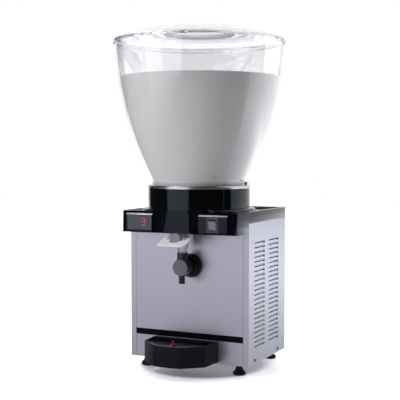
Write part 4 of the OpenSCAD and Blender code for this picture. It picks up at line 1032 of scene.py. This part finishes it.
def floor_glow(tree):
    """How bright the floor is to the camera, and in gloss and glass."""
    place = add(tree, "TexCoord").outputs["Object"]
    offset = add(tree, "VectorMath", {"operation": "SUBTRACT"}, _0=place, _1=SHADE_MIDDLE)
    away = add(tree, "VectorMath", {"operation": "LENGTH"}, _0=offset.outputs[0]).outputs["Value"]
    # The round dip of the glow under the machine is a painted shadow.
    glow = math_node(tree, "ADD", ramp_node(tree, away, *SHADE_EDGE),
                     ramp_node(tree, away, *SHADE_FADE))
    rays = add(tree, "LightPath").outputs
    lit = math_node(tree, "MULTIPLY", rays["Is Camera Ray"], glow)
    split = add(tree, "SeparateXYZ", _0=place).outputs
    back = math_node(tree, "ADD", split["Y"], MIRROR_START)
    mirrored = math_node(tree, "MAXIMUM", rays["Is Glossy Ray"], rays["Is Transmission Ray"])
    # The fade near the machine is a painted shade in what gloss and glass see.
    for factor in (rear_side(tree, split["X"], back, MIRROR_SHARP),
                   ramp_node(tree, away, *MIRROR_PAINTED_SHADE), REAR_GLOW):
        mirrored = math_node(tree, "MULTIPLY", mirrored, factor)
    return math_node(tree, "ADD", lit, mirrored)


def make_floor():
    mesh = bpy.data.meshes.new("floor")
    half = FLOOR_HALF
    mesh.from_pydata([(-half, -half, 0), (half, -half, 0), (half, half, 0), (-half, half, 0)], [],
                     [(0, 1, 2, 3)])
    floor = bpy.data.objects.new("floor", mesh)
    bpy.context.scene.collection.objects.link(floor)
    made = bpy.data.materials.new("pale floor")
    made.use_nodes = True
    shader = made.node_tree.nodes["Principled BSDF"]
    # The glow's faint lavender tints the painted shade under the machine.
    for key, value in {"Base Color": (0.80, 0.80, 0.83, 1), "Roughness": 0.3,
                       "Specular IOR Level": 0.35, "Emission Color": (0.95, 0.95, 1, 1)}.items():
        shader.inputs[key].default_value = value
    made.node_tree.links.new(floor_glow(made.node_tree), shader.inputs["Emission Strength"])
    mesh.materials.append(made)
    return floor


print("stage:", make_floor().name)

# %% [markdown]
# ### The world
# The world is the white room: full white to the camera, bright for gloss and glass behind the
# machine and nearly dark elsewhere, and a low even light for the matt surfaces.

# %% World
WORLD_SHARP, WORLD_DARK, WORLD_FILL, GLASS_GAIN = 20.0, 0.03, 0.10, 1.02


def make_world():
    world = bpy.data.worlds.new("studio")
    bpy.context.scene.world = world
    world.use_nodes = True
    tree = world.node_tree
    tree.nodes.clear()
    ray = add(tree, "LightPath").outputs
    way = add(tree, "TexCoord").outputs["Generated"]
    split = add(tree, "SeparateXYZ", _0=way).outputs
    behind = rear_side(tree, split["X"], split["Y"], WORLD_SHARP)
    behind = math_node(tree, "MULTIPLY_ADD", behind, REAR_GLOW, WORLD_DARK)
    through = math_node(tree, "MULTIPLY", ray["Is Transmission Ray"], GLASS_GAIN)
    glossy = math_node(tree, "MAXIMUM", ray["Is Glossy Ray"], through)
    glossy = math_node(tree, "MULTIPLY", glossy, behind)
    fill = math_node(tree, "SUBTRACT", 1.0, ray["Is Glossy Ray"])
    fill = math_node(tree, "MULTIPLY", fill, WORLD_FILL)
    level = math_node(tree, "MAXIMUM", ray["Is Camera Ray"], glossy)
    level = math_node(tree, "MAXIMUM", level, fill)
    sky = add(tree, "Background", _0=(1, 1, 1, 1), _1=level)
    tree.links.new(sky.outputs[0], add(tree, "OutputWorld").inputs[0])
    return world


print("world:", make_world().name)

# %% [markdown]
# ### The softboxes
# Each softbox is placed by its bearing, counted from straight in front towards the machine's
# right, its height and its distance, and is turned to face the middle of the machine. The
# large one at the front left, the thin strip at the right and the small panel above are
# mirrored in the gloss. The other two only light the matt surfaces, so the black stays deep.

# %% Softboxes
AIM_HEIGHT = 0.4


def softbox(name, bearing, height, distance, width, tall, glow, mirrored=True):
    """An even panel; glow is how bright it looks, and an unmirrored one isn't seen in gloss."""
    lamp = bpy.data.lights.new(name, "AREA")
    lamp.shape = "RECTANGLE"
    lamp.size = width
    lamp.size_y = tall
    lamp.energy = glow * math.pi * width * tall
    piece = bpy.data.objects.new(name, lamp)
    turn = math.radians(bearing)
    piece.location = (distance * math.sin(turn), -distance * math.cos(turn), height)
    look = Vector((0, 0, AIM_HEIGHT)) - piece.location
    piece.rotation_euler = look.to_track_quat("-Z", "Y").to_euler()
    piece.visible_camera = False
    piece.visible_glossy = mirrored
    bpy.context.scene.collection.objects.link(piece)


softbox("front left softbox", -23, 1.15, 2.4, 2.55, 2.7, 0.92)
softbox("right softbox", 146, 1.15, 2.4, 2.1, 2.5, 2.7, mirrored=False)
softbox("right strip", 81, 1.0, 2.4, 0.06, 2.2, 0.7)
softbox("left fill", -42, 1.2, 2.6, 1.8, 2.2, 1.9, mirrored=False)
softbox("top panel", -65, 3.0, 1.4, 0.9, 0.9, 10.0)

# %% [markdown]
# ## The camera
# The photo was taken from the front right, a little above the tap, with a long lens. The lens
# and the place come from a fit to the cabinet's edges and the bowl's rim, so they are plain
# numbers, and the colours are shown by the standard view.

# %% Camera
LENS_MM, SENSOR_MM = 82.38, 36
CAMERA_PLACE = (0.9265, -1.9199, 0.4949)
CAMERA_LOOK = (-0.4332, 0.9000, -0.0486)


def make_camera():
    lens = bpy.data.cameras.new("camera")
    lens.sensor_width = SENSOR_MM
    lens.lens = LENS_MM
    camera = bpy.data.objects.new("camera", lens)
    camera.location = CAMERA_PLACE
    camera.rotation_euler = Vector(CAMERA_LOOK).to_track_quat("-Z", "Y").to_euler()
    bpy.context.scene.collection.objects.link(camera)
    bpy.context.scene.camera = camera
    bpy.context.scene.view_settings.view_transform = "Standard"


make_camera()
print("camera:", LENS_MM, "mm lens at", CAMERA_PLACE)
